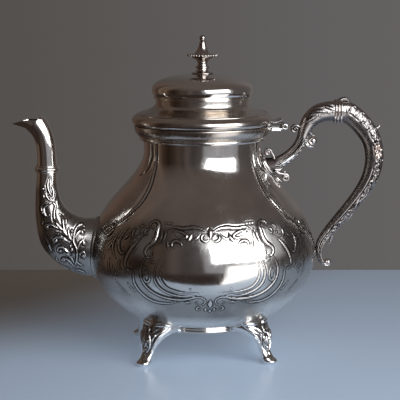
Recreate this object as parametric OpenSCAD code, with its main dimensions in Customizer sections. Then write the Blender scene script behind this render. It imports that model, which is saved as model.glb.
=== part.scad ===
// Silver plated teapot: round pear-shaped pot on four leaf feet, with a swan-neck spout,
// a scrolled handle and a domed lid hinged on the handle side.
// Z is up from the table and the pot's own axis is X = Y = 0. The spout points along -X.

/* [Pot] */
// Greatest radius of the pot
belly_r = 78.9; // [76:0.1:80]
// Height of the greatest radius
belly_z = 71.5; // [69:0.5:74]
// Outside radius of the neck
neck_r = 41.2; // [41:0.1:41.6]
// Height of the mouth
mouth_z = 160; // [159.5:0.1:160.5]
// Thickness of the pot's wall
wall = 1.1; // [0.9:0.1:1.3]
// Height of the seam between the bowl and the shoulder
bowl_seam_z = 58; // [52:1:60]
// Height of the seam between the shoulder and the neck
neck_seam_z = 119; // [115:1:122]
// Number of strainer holes across the middle row
strainer_row = 5; // [3:1:5]

/* [Foot ring and feet] */
// Outside radius of the foot ring
ring_r = 35; // [34.5:0.1:35.5]
// Height of the foot ring's lower edge
ring_z = 19.8; // [18:0.2:20.6]
// Distance from the pot's axis to the middle of a toe
toe_r = 60; // [58:0.5:62]

/* [Lid] */
// Greatest radius of the lid's rim
lid_rim_r = 48.9; // [48.5:0.1:49.5]
// Radius of the lid's shoulder
lid_shoulder_r = 35.1; // [34.6:0.1:35.6]
// Height of the top of the lid's dome
lid_top_z = 195.4; // [194.5:0.1:196]
// Gap between the closed lid and the mouth
lid_gap = 0.3; // [0.3:0.05:0.5]
// Depth of the lid's bezel inside the neck
bezel_depth = 8; // [6:0.5:9]

/* [Finial] */
// Radius of the beaded disc
disc_r = 10.4; // [10:0.1:10.8]
// Number of beads on the disc
disc_beads = 30; // [24:1:32]
// Radius of the ball on top
ball_r = 2.3; // [2:0.1:2.6]

/* [Hinge] */
// Distance from the pot's axis to the hinge pin
hinge_x = 56.8; // [56.5:0.1:57.2]
// Height of the hinge pin
hinge_z = 158.7; // [158.6:0.1:159.2]
// Outside radius of a knuckle
knuckle_r = 2.1; // [2:0.05:2.2]
// Radius of the hinge pin
pin_r = 0.9; // [0.8:0.05:1]
// Width of the whole hinge
hinge_w = 14; // [12:0.5:16]

/* [Spout] */
// Half the height of the spout's flange
flange_a = 22; // [21:0.5:23]
// Half the width of the spout's flange
flange_b = 17.5; // [16.5:0.5:18.5]
// Thickness of the spout's wall
spout_wall = 1; // [0.8:0.1:1.2]
// Radius of the spout's joint under its collar
spout_joint_r = 7.2; // [7:0.1:7.3]

/* [Handle] */
// Factor on the handle's width across
grip_w = 1; // [0.9:0.05:1.1]
// Thickness of the two pads that hold the handle
pad_t = 1.6; // [1.2:0.1:2]

/* [Hidden] */
$fn = 96;
silver = [0.74, 0.72, 0.69];
gilt = [0.80, 0.70, 0.50];

// ---- curves and skins ----

// A point on a cubic curve with four control points
function cubic(p, t) = pow(1 - t, 3) * p[0] + 3 * pow(1 - t, 2) * t * p[1]
    + 3 * (1 - t) * t * t * p[2] + pow(t, 3) * p[3];
// The whole cubic curve in n steps
function curve(p, n) = [for (i = [0:n]) cubic(p, i / n)];
// An arc about c from angle a0 to a1 in n steps
function arc(c, r, a0, a1, n) = [for (i = [0:n]) let (a = a0 + (a1 - a0) * i / n)
    c + r * [cos(a), sin(a)]];
function reverse(p) = [for (i = [len(p) - 1:-1:0]) p[i]];
// The outline p moved sideways by d, to the right of its direction
function moved(p, d) = [for (i = [0:len(p) - 1])
    let (t = p[min(i + 1, len(p) - 1)] - p[max(i - 1, 0)]) p[i] + d * [t.y, -t.x] / norm(t)];
// A point of a smooth line through the stations p, after station i
function between(p, i, t) = let (a = p[max(i - 1, 0)], b = p[i], c = p[i + 1],
    d = p[min(i + 2, len(p) - 1)])
    0.5 * (2 * b + (c - a) * t + (2 * a - 5 * b + 4 * c - d) * t * t
    + (3 * b - a - 3 * c + d) * t * t * t);
// The smooth line through all the stations, n steps for each
function smooth(p, n) = [for (i = [0:len(p) - 2], k = [0:n - 1]) between(p, i, k / n),
    p[len(p) - 1]];

function middle(ring) = [for (p = ring) 1] * ring / len(ring);

// A closed surface through rings that have the same number of points. A looped one joins
// its last ring to its first, and any other is closed by a fan at each end.
module skin(rings, looped = false) {
    n = len(rings);
    m = len(rings[0]);
    sides = [for (i = [0:n - (looped ? 1 : 2)], j = [0:m - 1])
        let (a = i * m + j, b = i * m + (j + 1) % m,
             c = ((i + 1) % n) * m + (j + 1) % m, d = ((i + 1) % n) * m + j)
        each [[a, b, c], [a, c, d]]];
    ends = looped ? [] : [for (j = [0:m - 1])
        each [[n * m, (j + 1) % m, j], [n * m + 1, (n - 1) * m + j, (n - 1) * m + (j + 1) % m]]];
    tips = looped ? [] : [middle(rings[0]), middle(rings[n - 1])];
    polyhedron(concat([for (r = rings) each r], tips), concat(ends, sides), convexity = 8);
}

// An oval ring of m points about c in the XZ plane. Its half height a lies along the angle
// ang from +X, and its half width b lies along Y.
function oval(c, ang, a, b, m) = [for (j = [0:m - 1]) let (t = 360 * j / m)
    [c.x + a * cos(t) * cos(ang), b * sin(t), c.y + a * cos(t) * sin(ang)]];

// ---- the pot's outline, from the foot ring up to the mouth ----

belly_p = [belly_r, belly_z];
foot_p = [31, 23.3];
slope_p = [54.6, 119];
neck_foot = [neck_r, 143];
lower_line = curve([foot_p, foot_p + [20, 0], belly_p - [0, 25.5], belly_p], 14);
shoulder_line = curve([belly_p, belly_p + [0, 19.5], slope_p + [10.8, -11.7], slope_p], 9);
throat_line = curve([slope_p, slope_p + [-7.5, 8.1], neck_foot - [0, 9], neck_foot], 8);
pot_line = concat(lower_line, [for (i = [1:9]) shoulder_line[i]],
    [for (i = [1:8]) throat_line[i]], [[neck_r, mouth_z]]);
z_by_radius = [for (p = lower_line) p];
// Distance from the YZ plane to a surface d outside the pot, at width y and height z
function pot_x(y, z, d) = let (r = lookup(z, [for (p = moved(pot_line, d)) [p.y, p.x]]))
    sqrt(r * r - y * y);

// The pot's wall between two heights
module wall_ring(z0, z1) {
    rotate_extrude() intersection() {
        polygon(concat(pot_line, reverse(moved(pot_line, -wall))));
        translate([0, z0]) square([100, z1 - z0]);
    }
}

module body_bowl() color(silver) wall_ring(0, bowl_seam_z);

module body_shoulder() {
    color(silver) difference() {
        wall_ring(bowl_seam_z, neck_seam_z);
        strainer_holes();
    }
}

module body_neck() color(silver) wall_ring(neck_seam_z, mouth_z + 1);

// Rows of holes behind the spout, wide in the middle and short at the ends
module strainer_holes() {
    hole_r = 1.6;
    pitch = 5.6;
    for (row = [-2:2], k = [0:strainer_row - 1 - abs(row)])
        translate([-belly_r - 3, (k - (strainer_row - 1 - abs(row)) / 2) * pitch,
                   belly_z + 2 + row * pitch * sin(60)])
            rotate([0, 90, 0]) cylinder(r = hole_r, h = 12, $fn = 24);
}

module base_plate() {
    plate_t = 1.2;
    color(silver) translate([0, 0, foot_p.y - plate_t]) cylinder(r = ring_r - 1.6, h = plate_t);
}

module foot_ring() {
    ring_t = 1.5;
    top = foot_p.y - 0.05;
    color(silver) rotate_extrude() polygon([[ring_r - ring_t, ring_z], [ring_r - 0.2, ring_z],
        [ring_r + 0.2, ring_z + 0.8], [ring_r - 0.3, (ring_z + top) / 2],
        [ring_r, top], [ring_r - ring_t, top]]);
}

// ---- a foot, drawn along +X and turned to its place ----

// Each station is the middle's distance out, the height, the half depth and the half width
foot_stations = [[50.5, 25, 6.4, 11.8], [52.8, 20.5, 5, 9.4], [54.4, 16, 4.2, 7.2],
    [55.4, 12, 3.6, 5.6], [56.8, 8, 3.3, 4.8], [toe_r - 1.4, 5, 4, 4.5],
    [toe_r + 0.3, 2.8, 4.6, 4.6], [toe_r + 0.4, 1.2, 4.4, 4.4], [toe_r, 0, 3.4, 3.4]];
contact_gap = 0.08;

module foot() {
    m = 20;
    // The top lies against the pot, in rings that grow from its middle
    top = [for (k = [0.1, 0.4, 0.7, 1]) [for (j = [0:m - 1])
        let (t = 360 * j / m, x = 49 + 8.2 * k * cos(t), y = 14.4 * k * sin(t))
        [x, y, lookup(norm([x, y]), z_by_radius) - contact_gap]]];
    rings = [for (s = smooth(foot_stations, 2)) [for (j = [0:m - 1]) let (t = 360 * j / m)
        [s[0] + s[2] * cos(t), s[3] * sin(t), s[1]]]];
    skin(reverse(concat(top, rings)));
}

module front_left_foot() color(silver) rotate(225) foot();
module front_right_foot() color(silver) rotate(315) foot();
module rear_left_foot() color(silver) rotate(135) foot();
module rear_right_foot() color(silver) rotate(45) foot();

// ---- mouldings round the neck ----

collar_face = curve([[44.4, 152.9], [45.6, 153.6], [47.4, 155.8], [47.6, mouth_z - 0.6]], 8);

module neck_collar() {
    t = 1;
    low = collar_face[0].y;
    inside = [for (p = moved(collar_face, -t)) [p.x, min(max(p.y, low + t), mouth_z - t)]];
    color(silver) rotate_extrude() polygon(concat([[neck_r, low]], collar_face,
        [[collar_face[8].x, mouth_z], [neck_r, mouth_z], [neck_r, mouth_z - t]], reverse(inside),
        [[neck_r, low + t]]));
}

module neck_bead() {
    color(silver) rotate_extrude() polygon(concat([[neck_r, 149.9]],
        arc([42.7, 151.4], 1.5, -90, 90, 8), [[neck_r, 152.9]]));
}

// ---- spout ----

// The part of a layer round the pot that lies inside an upright oval on the X axis
module pot_patch(d0, d1, z0, z1) {
    intersection() {
        rotate_extrude() difference() {
            polygon(concat(moved(pot_line, d1), [[0, mouth_z], [0, foot_p.y]]));
            polygon(concat(moved(pot_line, d0), [[0, mouth_z + 1], [0, foot_p.y - 1]]));
            translate([0, z1]) square([200, 200]);
            translate([0, z0 - 200]) square([200, 200]);
        }
        children();
    }
}

flange_t = 1.8;
flange_z = 74.3;

module spout_flange() {
    bore = spout_wall + 2.6;
    color(silver) pot_patch(0.02, flange_t, flange_z - flange_a - 1, flange_z + flange_a + 1)
        translate([-belly_r, 0, flange_z]) rotate([90, 0, -90])
            linear_extrude(height = 40, center = true) difference() {
                oval_plate(flange_b, flange_a);
                oval_plate(flange_b - bore, flange_a - bore);
            }
}

module oval_plate(a, b) {
    polygon([for (t = [0:9:351]) [a * cos(t), b * sin(t)]]);
}

// Where the spout's base meets its tip
joint_x = -107.8;
joint_z = 129;
// Each station is X, Z, the half height, the half width and the angle of the half height
spout_stations = [[-81, 75, 20.7, 16.2, 90], [-89, 77.5, 20, 15.8, 83],
    [-96.9, 82.3, 18.1, 15, 69], [-103.6, 89.7, 15.6, 13.6, 54], [-107, 99.7, 11.7, 11.6, 39],
    [-108.1, 108.3, 9.4, 9.9, 27], [-108.5, 116.2, 7.9, 8.4, 16], [-108, 124.5, 7.2, 7.3, 4],
    [joint_x, joint_z, spout_joint_r, spout_joint_r, 0]];

// One ring of a tube that is d thinner than its station, laid on the flange if it is the root
function spout_ring(s, d, m) = oval([s[0], s[1]], s[4], s[2] - d, s[3] - d, m);
function on_flange(ring) = [for (p = ring)
    [-pot_x(p.y, p.z, flange_t + contact_gap), p.y, p.z]];

module spout_base() {
    m = 28;
    line = smooth(spout_stations, 2);
    last = len(line) - 1;
    outer = [for (i = [0:last]) let (r = spout_ring(line[i], 0, m)) i == 0 ? on_flange(r) : r];
    inner = [for (i = [0:last]) let (r = spout_ring(line[i], spout_wall, m))
        i == 0 ? on_flange(r) : r];
    color(silver) skin(concat(outer, reverse(inner)), looped = true);
}

module spout_collar() {
    r = spout_joint_r + 0.1;
    color(silver) translate([joint_x, 0, 0]) rotate_extrude() polygon(concat([[r, 127.8]],
        arc([r + 0.3, 128.3], 0.5, -90, 60, 4), arc([r + 0.5, 130.2], 1.1, -60, 60, 8),
        arc([r + 0.3, 132.1], 0.5, -60, 90, 4), [[r, 132.6]]));
}

tip_stations = [[joint_x, joint_z + contact_gap, spout_joint_r - 0.1, spout_joint_r - 0.1, 0],
    [-107.9, 137, 6.7, 6.8, 0],
    [-108.3, 145, 6.65, 6.6, 4], [-109.4, 150.9, 6.7, 6.5, 14], [-111.6, 156.6, 7, 6.5, 24],
    [-115.6, 162.2, 7.8, 6.4, 28]];
// The mouth's rim, from a tall back round both sides to a long beak
function lip(d, m) = [for (j = [0:m - 1]) let (t = 360 * j / m, f = (1 - cos(t)) / 2,
    back = pow(max(cos(t), 0), 5))
    [-120.9 + (9.3 - d) * cos(t) + 4.7 * pow(sin(t), 2), (6.5 - d) * sin(t) * (1 - 0.25 * f * f),
     163.1 + 6 * back + 1.6 * sin(180 * f * f) - 1.6 * pow(f, 3)]];

module spout_tip() {
    m = 28;
    line = smooth(tip_stations, 2);
    outer = concat([for (s = line) spout_ring(s, 0, m)], [lip(0, m)]);
    inner = concat([for (s = line) spout_ring(s, spout_wall, m)], [lip(spout_wall, m)]);
    color(silver) skin(concat(outer, reverse(inner)), looped = true);
}

// ---- handle ----

// Each station is X, Z, the half thickness in the XZ plane and the half width across
handle_stations = [[46, 131.2, 5.4, 4.6], [52.5, 132.6, 4.9, 4.4], [59.6, 136.8, 4.4, 4.3],
    [65.6, 142.4, 4.2, 4.4], [69.4, 149.2, 4.1, 4.7], [71.8, 156.4, 4.9, 5.1],
    [75.4, 162.8, 6, 5.4], [81.2, 167.2, 6.8, 5.8], [88.4, 168.8, 7.1, 6],
    [94.6, 168.8, 7.3, 6.1], [101, 168.1, 7.7, 6.2], [108.2, 163, 7.6, 6.3],
    [114.4, 156, 7.4, 6.4], [118.9, 148.2, 7, 6.4], [120.9, 139, 6.8, 6.2],
    [120.3, 129.6, 6.5, 6], [117, 119.6, 6, 5.7], [110.6, 109.4, 5.3, 5.3],
    [102.6, 99.4, 4.8, 4.9], [94.8, 90.4, 4.4, 4.6], [87.8, 82, 3.9, 4.3],
    [83.4, 75.6, 3.2, 4.1], [82.3, 69.4, 2.5, 3.9], [83.6, 63.4, 2, 3.7], [87, 60.4, 1.6, 3.5]];
handle_steps = 2;
handle_line = smooth(handle_stations, handle_steps);
joint_strut = 5;
joint_band = 9;
joint_tail = 20;

// A ring across the handle at its step i, at right angles to the line
function handle_ring(i) = let (p = handle_line[i], a = handle_line[max(i - 1, 0)],
    b = handle_line[min(i + 1, len(handle_line) - 1)], ang = atan2(b[1] - a[1], b[0] - a[0]))
    oval([p[0], p[1]], ang + 90, p[2], p[3] * grip_w, 18);

// The handle between two stations
module handle_piece(from, to) {
    skin([for (i = [from * handle_steps:to * handle_steps]) handle_ring(i)]);
}

module upper_handle_pad() {
    color(silver) {
        pot_patch(0.02, pad_t, 120, 143)
            translate([30, 0, 131.4]) rotate([0, 90, 0]) cylinder(r = 8.6, h = 30, $fn = 48);
        // The small curls above and below the handle's root
        translate([45.2, 0, 140.4]) rotate([90, 0, 0]) cylinder(r = 2.2, h = 4, center = true);
        translate([58, 0, 122.6]) rotate([90, 0, 0]) cylinder(r = 2.8, h = 4, center = true);
        translate([50.8, -2, 124.6]) rotate([0, 14, 0]) cube([6.6, 4, 1.6]);
    }
}

module handle_strut() {
    root = handle_stations[0];
    // The end lies against the pad, in rings that grow from its middle
    start = [for (k = [0.1, 0.55, 1])
        [for (p = oval([root[0], root[1]], 90, root[2] * k, root[3] * k, 18))
            [pot_x(p.y, p.z, pad_t + contact_gap), p.y, p.z]]];
    color(silver) {
        skin(concat(start, [for (i = [2:joint_strut * handle_steps]) handle_ring(i)]));
        // The thumb scroll and its ball
        translate([75.4, 0, 148.2]) rotate([90, 0, 0]) cylinder(r = 4.2, h = 5, center = true);
        translate([77.2, 0, 147.9]) sphere(r = 3);
        // The curled end that reaches towards the hinge
        translate([64.6, 0, 156.4]) rotate([90, 0, 0]) cylinder(r = 3.1, h = 7, center = true);
    }
}

module handle_arch() color(silver) handle_piece(joint_strut, joint_band);

// Three rings round the handle where the arch meets the grip
module handle_band() {
    p = handle_stations[joint_band];
    pitch = 2.1;
    ring_w = 1.8;
    // The handle bends inside the rings, so they are this much wider than it is
    room = 0.5;
    for (k = [-1:1]) {
        over = 1.5 - 0.3 * abs(k);
        color(silver) translate([p[0] + pitch * k, 0, p[1]]) rotate([0, 90, 0])
            linear_extrude(height = ring_w, center = true) difference() {
                oval_plate(p[2] + over, p[3] * grip_w + over);
                oval_plate(p[2] + room, p[3] * grip_w + room);
            }
    }
}

module handle_grip() color(silver) handle_piece(joint_band, joint_tail);

module handle_tail() {
    color(silver) {
        handle_piece(joint_tail, len(handle_stations) - 1);
        translate([88.8, 0, 61.6]) sphere(r = 2.5);
    }
}

module lower_handle_pad() {
    color(silver) pot_patch(0.02, 0.75, 60, 77)
        translate([60, 0, 68.5]) rotate([0, 90, 0]) cylinder(r = 5, h = 30, $fn = 48);
}

// ---- hinge ----

knuckle_gap = 0.3;
pin_play = 0.05;
middle_w = hinge_w * 0.36;

// A knuckle of width w, its middle at width y
module knuckle(y, w) {
    translate([hinge_x, y, hinge_z]) rotate([90, 0, 0]) difference() {
        cylinder(r = knuckle_r, h = w, center = true, $fn = 48);
        cylinder(r = pin_r + pin_play, h = w + 1, center = true, $fn = 48);
    }
}

module body_hinge_leaf() {
    side_w = (hinge_w - middle_w) / 2 - knuckle_gap;
    leaf_t = 1.4;
    inner_x = 45;
    low = hinge_z - knuckle_r;
    color(silver) {
        for (s = [-1, 1]) knuckle(s * (hinge_w - side_w) / 2, side_w);
        difference() {
            union() {
                for (s = [-1, 1])
                    translate([inner_x, s * (hinge_w - side_w) / 2 - side_w / 2, low])
                        cube([hinge_x - inner_x - 1.2, side_w, leaf_t]);
                translate([inner_x, -hinge_w / 2, low - 1])
                    cube([hinge_x - inner_x - knuckle_r - 0.5, hinge_w, leaf_t]);
            }
            rotate_extrude() polygon(concat([[0, 152.9]], moved(collar_face, 0.03), [[0, mouth_z]]));
        }
    }
}

module hinge_pin() {
    color(silver) translate([hinge_x, 0, hinge_z]) rotate([90, 0, 0])
        cylinder(r = pin_r, h = hinge_w + 0.8, center = true, $fn = 48);
}

module lid_hinge_leaf() {
    leaf_t = 1.3;
    top = hinge_z + knuckle_r;
    // Below the lid the leaf stays clear of the pot's collar
    clear_r = collar_face[8].x + 0.4;
    color(silver) {
        knuckle(0, middle_w);
        difference() {
            union() {
                translate([45, -middle_w / 2, top - leaf_t])
                    cube([hinge_x - 45.9, middle_w, leaf_t]);
                translate([45, -hinge_w / 2, top + 0.4]) cube([9.6, hinge_w, leaf_t]);
                translate([45, -middle_w / 2, top - leaf_t]) cube([7.9, middle_w, 2 * leaf_t]);
            }
            rotate_extrude() polygon(concat([[0, lid_z - 3], [clear_r, lid_z - 3],
                [clear_r, lid_z]], moved(rim_face, 0.03), [[0, 168]]));
        }
    }
}

// ---- lid ----

lid_z = mouth_z + lid_gap;
band_z = 178.5;
band_r = 32.4;
lid_wall = 1;
bezel_r = neck_r - wall - 0.9;

rim_face = curve([[lid_rim_r - 2.1, lid_z], [lid_rim_r + 0.6, lid_z + 0.4],
    [lid_rim_r + 1.5, 166], [lid_rim_r - 3.7, 167.6]], 10);

module lid_skirt() {
    flare = curve([[44.6, 168.3], [38, 170.6], [32.6, 171.6], [band_r, 176]], 10);
    face = concat(rim_face, flare, [[band_r, band_z]]);
    inside = [for (p = moved(face, -lid_wall)) [p.x, max(p.y, lid_z)]];
    color(silver) rotate_extrude() polygon(concat(face, reverse(inside)));
}

module lid_dome() {
    base = [[band_r - lid_wall, band_z], [33.8, band_z], [34.2, 179.1]];
    cheek = curve([[33.4, 179.4], [34.6, 181.2], [lid_shoulder_r, 182.6],
        [lid_shoulder_r, 184.4]], 6);
    top = curve([[lid_shoulder_r, 184.4], [lid_shoulder_r, 190.8], [23, lid_top_z],
        [stud_r + 0.1, lid_top_z]], 14);
    face = concat(cheek, [for (i = [1:14]) top[i]]);
    inside = moved(face, -lid_wall);
    color(silver) rotate_extrude() polygon(concat(base, face, reverse(inside)));
}

module lid_bezel() {
    color(silver) rotate_extrude() polygon([[bezel_r - lid_wall, lid_z - bezel_depth],
        [bezel_r, lid_z - bezel_depth], [bezel_r, lid_z], [45.4, lid_z], [45.4, lid_z + lid_wall],
        [bezel_r - lid_wall, lid_z + lid_wall]]);
}

// ---- finial ----

stud_r = 1.5;
stud_fit = 0.05;
stem_z = 199;
brim_z = 207.1;
spire_z = 209;

module finial_base() {
    flare = curve([[6.4, lid_top_z + 0.7], [4.6, 196.6], [4, 197.4], [3.7, stem_z]], 6);
    color(silver) rotate_extrude() polygon(concat([[stud_r + stud_fit, lid_top_z],
        [6.4, lid_top_z]], flare, [[stud_r + stud_fit, stem_z]]));
}

module finial_stem() {
    ring = arc([3.5, stem_z + 0.5], 0.5, -90, 90, 6);
    waist = curve([[3.1, stem_z + 1], [2.6, 202.6], [3.2, 204], [6.4, 205.6]], 10);
    color(silver) rotate_extrude() polygon(concat([[stud_r + stud_fit, stem_z]], ring, waist,
        [[6.6, brim_z], [stud_r + stud_fit, brim_z]]));
}

module finial_disc() {
    bead_r = 0.62;
    color(silver) {
        rotate_extrude() polygon(concat([[stud_r + stud_fit, brim_z], [8, brim_z]],
            curve([[disc_r - 0.4, brim_z + 0.3], [disc_r + 0.2, brim_z + 0.6],
                [disc_r + 0.2, spire_z - 0.8], [disc_r - 1, spire_z - 0.2]], 6),
            [[6, spire_z], [stud_r + stud_fit, spire_z]]));
        for (k = [0:disc_beads - 1]) rotate(360 * k / disc_beads)
            translate([disc_r - 0.25, 0, brim_z + 0.95]) sphere(r = bead_r, $fn = 16);
    }
}

module finial_spire() {
    flank = curve([[6.2, spire_z], [3.2, 210.6], [2.4, 213.4], [1.5, 217.2]], 10);
    ball_z = 221.9 - ball_r;
    color(silver) rotate_extrude() polygon(concat([[0, spire_z + 3], [stud_r + stud_fit, spire_z + 3],
        [stud_r + stud_fit, spire_z]], flank, [[2, 217.5], [1.4, 217.9]],
        arc([0, ball_z], ball_r, -55, 90, 12)));
}

module finial_stud() {
    color(gilt) translate([0, 0, 189.6]) cylinder(r = stud_r, h = spire_z + 2.9 - 189.6, $fn = 48);
}

washer_t = 0.8;
washer_top = lid_top_z - lid_wall - 0.15;

module finial_washer() {
    color(silver) translate([0, 0, washer_top - washer_t]) difference() {
        cylinder(r = 4.4, h = washer_t, $fn = 48);
        translate([0, 0, -1]) cylinder(r = stud_r + stud_fit, h = washer_t + 2, $fn = 48);
    }
}

module finial_nut() {
    nut_h = 2.4;
    color(gilt) translate([0, 0, washer_top - washer_t - nut_h - 0.02]) difference() {
        cylinder(r = 3.6, h = nut_h, $fn = 6);
        translate([0, 0, -1]) cylinder(r = stud_r + stud_fit, h = nut_h + 2, $fn = 48);
    }
}

body_bowl();
body_shoulder();
body_neck();
base_plate();
foot_ring();
front_left_foot();
front_right_foot();
rear_left_foot();
rear_right_foot();
neck_collar();
neck_bead();
spout_flange();
spout_base();
spout_collar();
spout_tip();
upper_handle_pad();
handle_strut();
handle_arch();
handle_band();
handle_grip();
handle_tail();
lower_handle_pad();
body_hinge_leaf();
hinge_pin();
lid_hinge_leaf();
lid_skirt();
lid_dome();
lid_bezel();
finial_base();
finial_stem();
finial_disc();
finial_spire();
finial_stud();
finial_washer();
finial_nut();
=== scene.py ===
# A silver plated teapot: chased pot, swan-neck spout, cast handle and feet, hinged domed lid.
# Lengths are millimetres until make_mesh() turns them into metres. The pot's axis is X = Y = 0,
# Z is up from the table, -X is the spout side and -Y is the front.
import bpy
import math
import numpy as np
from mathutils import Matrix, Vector

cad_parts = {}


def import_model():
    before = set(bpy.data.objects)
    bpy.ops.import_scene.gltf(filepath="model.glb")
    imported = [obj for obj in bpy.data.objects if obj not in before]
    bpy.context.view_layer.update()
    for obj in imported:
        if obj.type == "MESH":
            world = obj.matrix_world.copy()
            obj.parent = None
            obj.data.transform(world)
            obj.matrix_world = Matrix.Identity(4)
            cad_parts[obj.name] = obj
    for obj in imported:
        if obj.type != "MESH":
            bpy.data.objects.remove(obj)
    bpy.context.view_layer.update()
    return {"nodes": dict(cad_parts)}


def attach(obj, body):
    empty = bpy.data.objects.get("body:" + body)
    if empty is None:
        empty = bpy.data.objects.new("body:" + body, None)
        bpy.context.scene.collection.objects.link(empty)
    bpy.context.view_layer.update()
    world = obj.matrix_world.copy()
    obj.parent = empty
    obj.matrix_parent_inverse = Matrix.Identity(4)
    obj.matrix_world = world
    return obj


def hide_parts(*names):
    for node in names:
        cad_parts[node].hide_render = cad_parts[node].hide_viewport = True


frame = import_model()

MM = 0.001
COARSE = 1.0
rng = np.random.default_rng(7)
CORD_SIDES = 14
SCROLL_SIDES = 16
BALL_SEGMENTS = 28


# ---------------- curves

def points(p):
    """Points from a list, or from a text with commas between the points."""
    return np.array([row.split() for row in p.split(",")] if isinstance(p, str) else p, float)


def cubic(p, n):
    """The cubic curve with the four control points p, in n steps."""
    p = points(p)
    t = np.linspace(0, 1, n + 1)[:, None]
    return (1 - t)**3 * p[0] + 3 * (1 - t)**2 * t * p[1] + 3 * (1 - t) * t * t * p[2] + t**3 * p[3]


def joined(*lines):
    """The lines end to end, without doubled points."""
    pts = np.vstack([np.atleast_2d(points(line)) for line in lines])
    keep = np.r_[True, np.linalg.norm(np.diff(pts, axis=0), axis=1) > 1e-6]
    return pts[keep]


def smooth(p, n):
    """A smooth line through all the points p, in n steps for each."""
    p = points(p)
    q = np.vstack([p[:1], p, p[-1:]])
    t = (np.arange(n) / n)[:, None]
    out = []
    for a, b, c, d in zip(q[:-3], q[1:-2], q[2:-1], q[3:]):
        out.append(0.5 * (2 * b + (c - a) * t + (2 * a - 5 * b + 4 * c - d) * t**2
                          + (3 * b - a - 3 * c + d) * t**3))
    return np.vstack(out + [p[-1:]])


def lengths(line):
    return np.r_[0, np.cumsum(np.linalg.norm(np.diff(line, axis=0), axis=1))]


def even(line, step):
    """The line with points about step apart."""
    s = lengths(line)
    q = np.linspace(0, s[-1], max(2, int(round(s[-1] / step))) + 1)
    return np.stack([np.interp(q, s, line[:, k]) for k in range(line.shape[1])], 1)


def arc(cx, cz, r, a0, a1, n):
    a = np.radians(np.linspace(a0, a1, n + 1))
    return np.stack([cx + r * np.cos(a), cz + r * np.sin(a)], 1)


def spiral(cx, cz, r0, r1, a0, turns, n=40):
    """Points of a spiral about a centre in the XZ plane, from radius r0 to r1."""
    k = np.linspace(0, 1, n + 1)
    a = np.radians(a0 + 360 * turns * k)
    r = r0 + (r1 - r0) * k
    return np.stack([cx + r * np.cos(a), cz + r * np.sin(a)], 1)


def circle(n):
    """The angles of n points round a circle."""
    return np.linspace(0, 2 * np.pi, n, endpoint=False)


def unit(v):
    return v / np.maximum(np.linalg.norm(v, axis=-1, keepdims=True), 1e-12)


def outward(line):
    """The directions to the outside of a profile that runs up."""
    t = unit(np.gradient(line, axis=0))
    return np.stack([t[:, 1], -t[:, 0]], 1)


# ---------------- meshes

def make_mesh(name, surface, look, body="pot", replaces=(), tarnish_and_shade=0.0, matte=0.0, crease=38):
    """A piece from a surface's points and faces, with its darkening mark and its dullness. The darkening is
    tarnishing in the hollows and, on some pieces, painted shade.
    """
    verts, faces = surface
    tri = np.vstack([np.vstack([f[:, [0, k, k + 1]] for k in range(1, f.shape[1] - 1)]) for f in faces])
    a, b, c = (verts[tri[:, k]] for k in range(3))
    if (a * np.cross(b, c)).sum() < 0:
        faces = [f[:, ::-1] for f in faces]
    me = bpy.data.meshes.new(name)
    me.vertices.add(len(verts))
    me.vertices.foreach_set("co", (verts * MM).astype(np.float32).ravel())
    corners = np.concatenate([f.ravel() for f in faces]).astype(np.int32)
    sizes = np.concatenate([np.full(len(f), f.shape[1]) for f in faces])
    me.loops.add(len(corners))
    me.loops.foreach_set("vertex_index", corners)
    me.polygons.add(len(sizes))
    me.polygons.foreach_set("loop_start", np.r_[0, np.cumsum(sizes)[:-1]].astype(np.int32))
    me.update(calc_edges=True)
    me.validate()
    me.polygons.foreach_set("use_smooth", np.ones(len(sizes), bool))
    me.set_sharp_from_angle(angle=math.radians(crease))
    for mark, values in (("tarnish_and_shade", tarnish_and_shade), ("matte", matte)):
        values = (values + np.zeros(len(verts))).astype(np.float32)
        me.attributes.new(mark, "FLOAT", "POINT").data.foreach_set("value", values)
    ob = bpy.data.objects.new(name, me)
    bpy.context.scene.collection.objects.link(ob)
    material, slot = look
    me.materials.append(material)
    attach(ob, body)
    if replaces:
        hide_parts(*replaces)


def wall_faces(rows, cols, looped):
    r = np.arange(rows if looped else rows - 1)[:, None]
    c = np.arange(cols)[None, :]
    a, b = r * cols + c, r * cols + (c + 1) % cols
    s = (r + 1) % rows
    return np.stack([x.ravel() for x in (a, b, s * cols + (c + 1) % cols, s * cols + c)], 1)


def skin(rings, looped=False):
    """Points and faces of a surface through the rings. One that isn't looped gets rounded-off ends."""
    rows, cols = rings.shape[:2]
    verts = rings.reshape(-1, 3)
    faces = [wall_faces(rows, cols, looped)]
    if not looped:
        j = np.arange(cols)
        n = rows * cols
        verts = np.vstack([verts, rings[0].mean(0), rings[-1].mean(0)])
        faces.append(np.vstack([np.stack([np.full(cols, n), (j + 1) % cols, j], 1),
                                np.stack([np.full(cols, n + 1), n - cols + j, n - cols + (j + 1) % cols],
                                         1)]))
    return verts, faces


def turned(line, a):
    """The rings of a profile of radius and height turned about the Z axis, at the angles a."""
    r, z = line[:, 0][:, None], line[:, 1][:, None]
    return np.stack([r * np.cos(a), r * np.sin(a), z + 0 * a], 2)


def lathe(name, line, look, body="pot", replaces=(), segs=192, crease=38, at=(0, 0, 0), tone=0.0, dull=0.0):
    """A turned piece. A profile that starts and ends on the axis is closed there, any other is a loop."""
    line = joined(line)
    solid = line[0, 0] < 1e-6 and line[-1, 0] < 1e-6
    if solid:
        line[0, 0] = line[-1, 0] = 0.02
    elif np.linalg.norm(line[0] - line[-1]) < 1e-6:
        line = line[:-1]
    verts, faces = skin(turned(line, circle(int(segs / COARSE))), looped=not solid)
    make_mesh(name, (verts + at, faces), look, body, replaces, tone, dull, crease)


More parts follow.
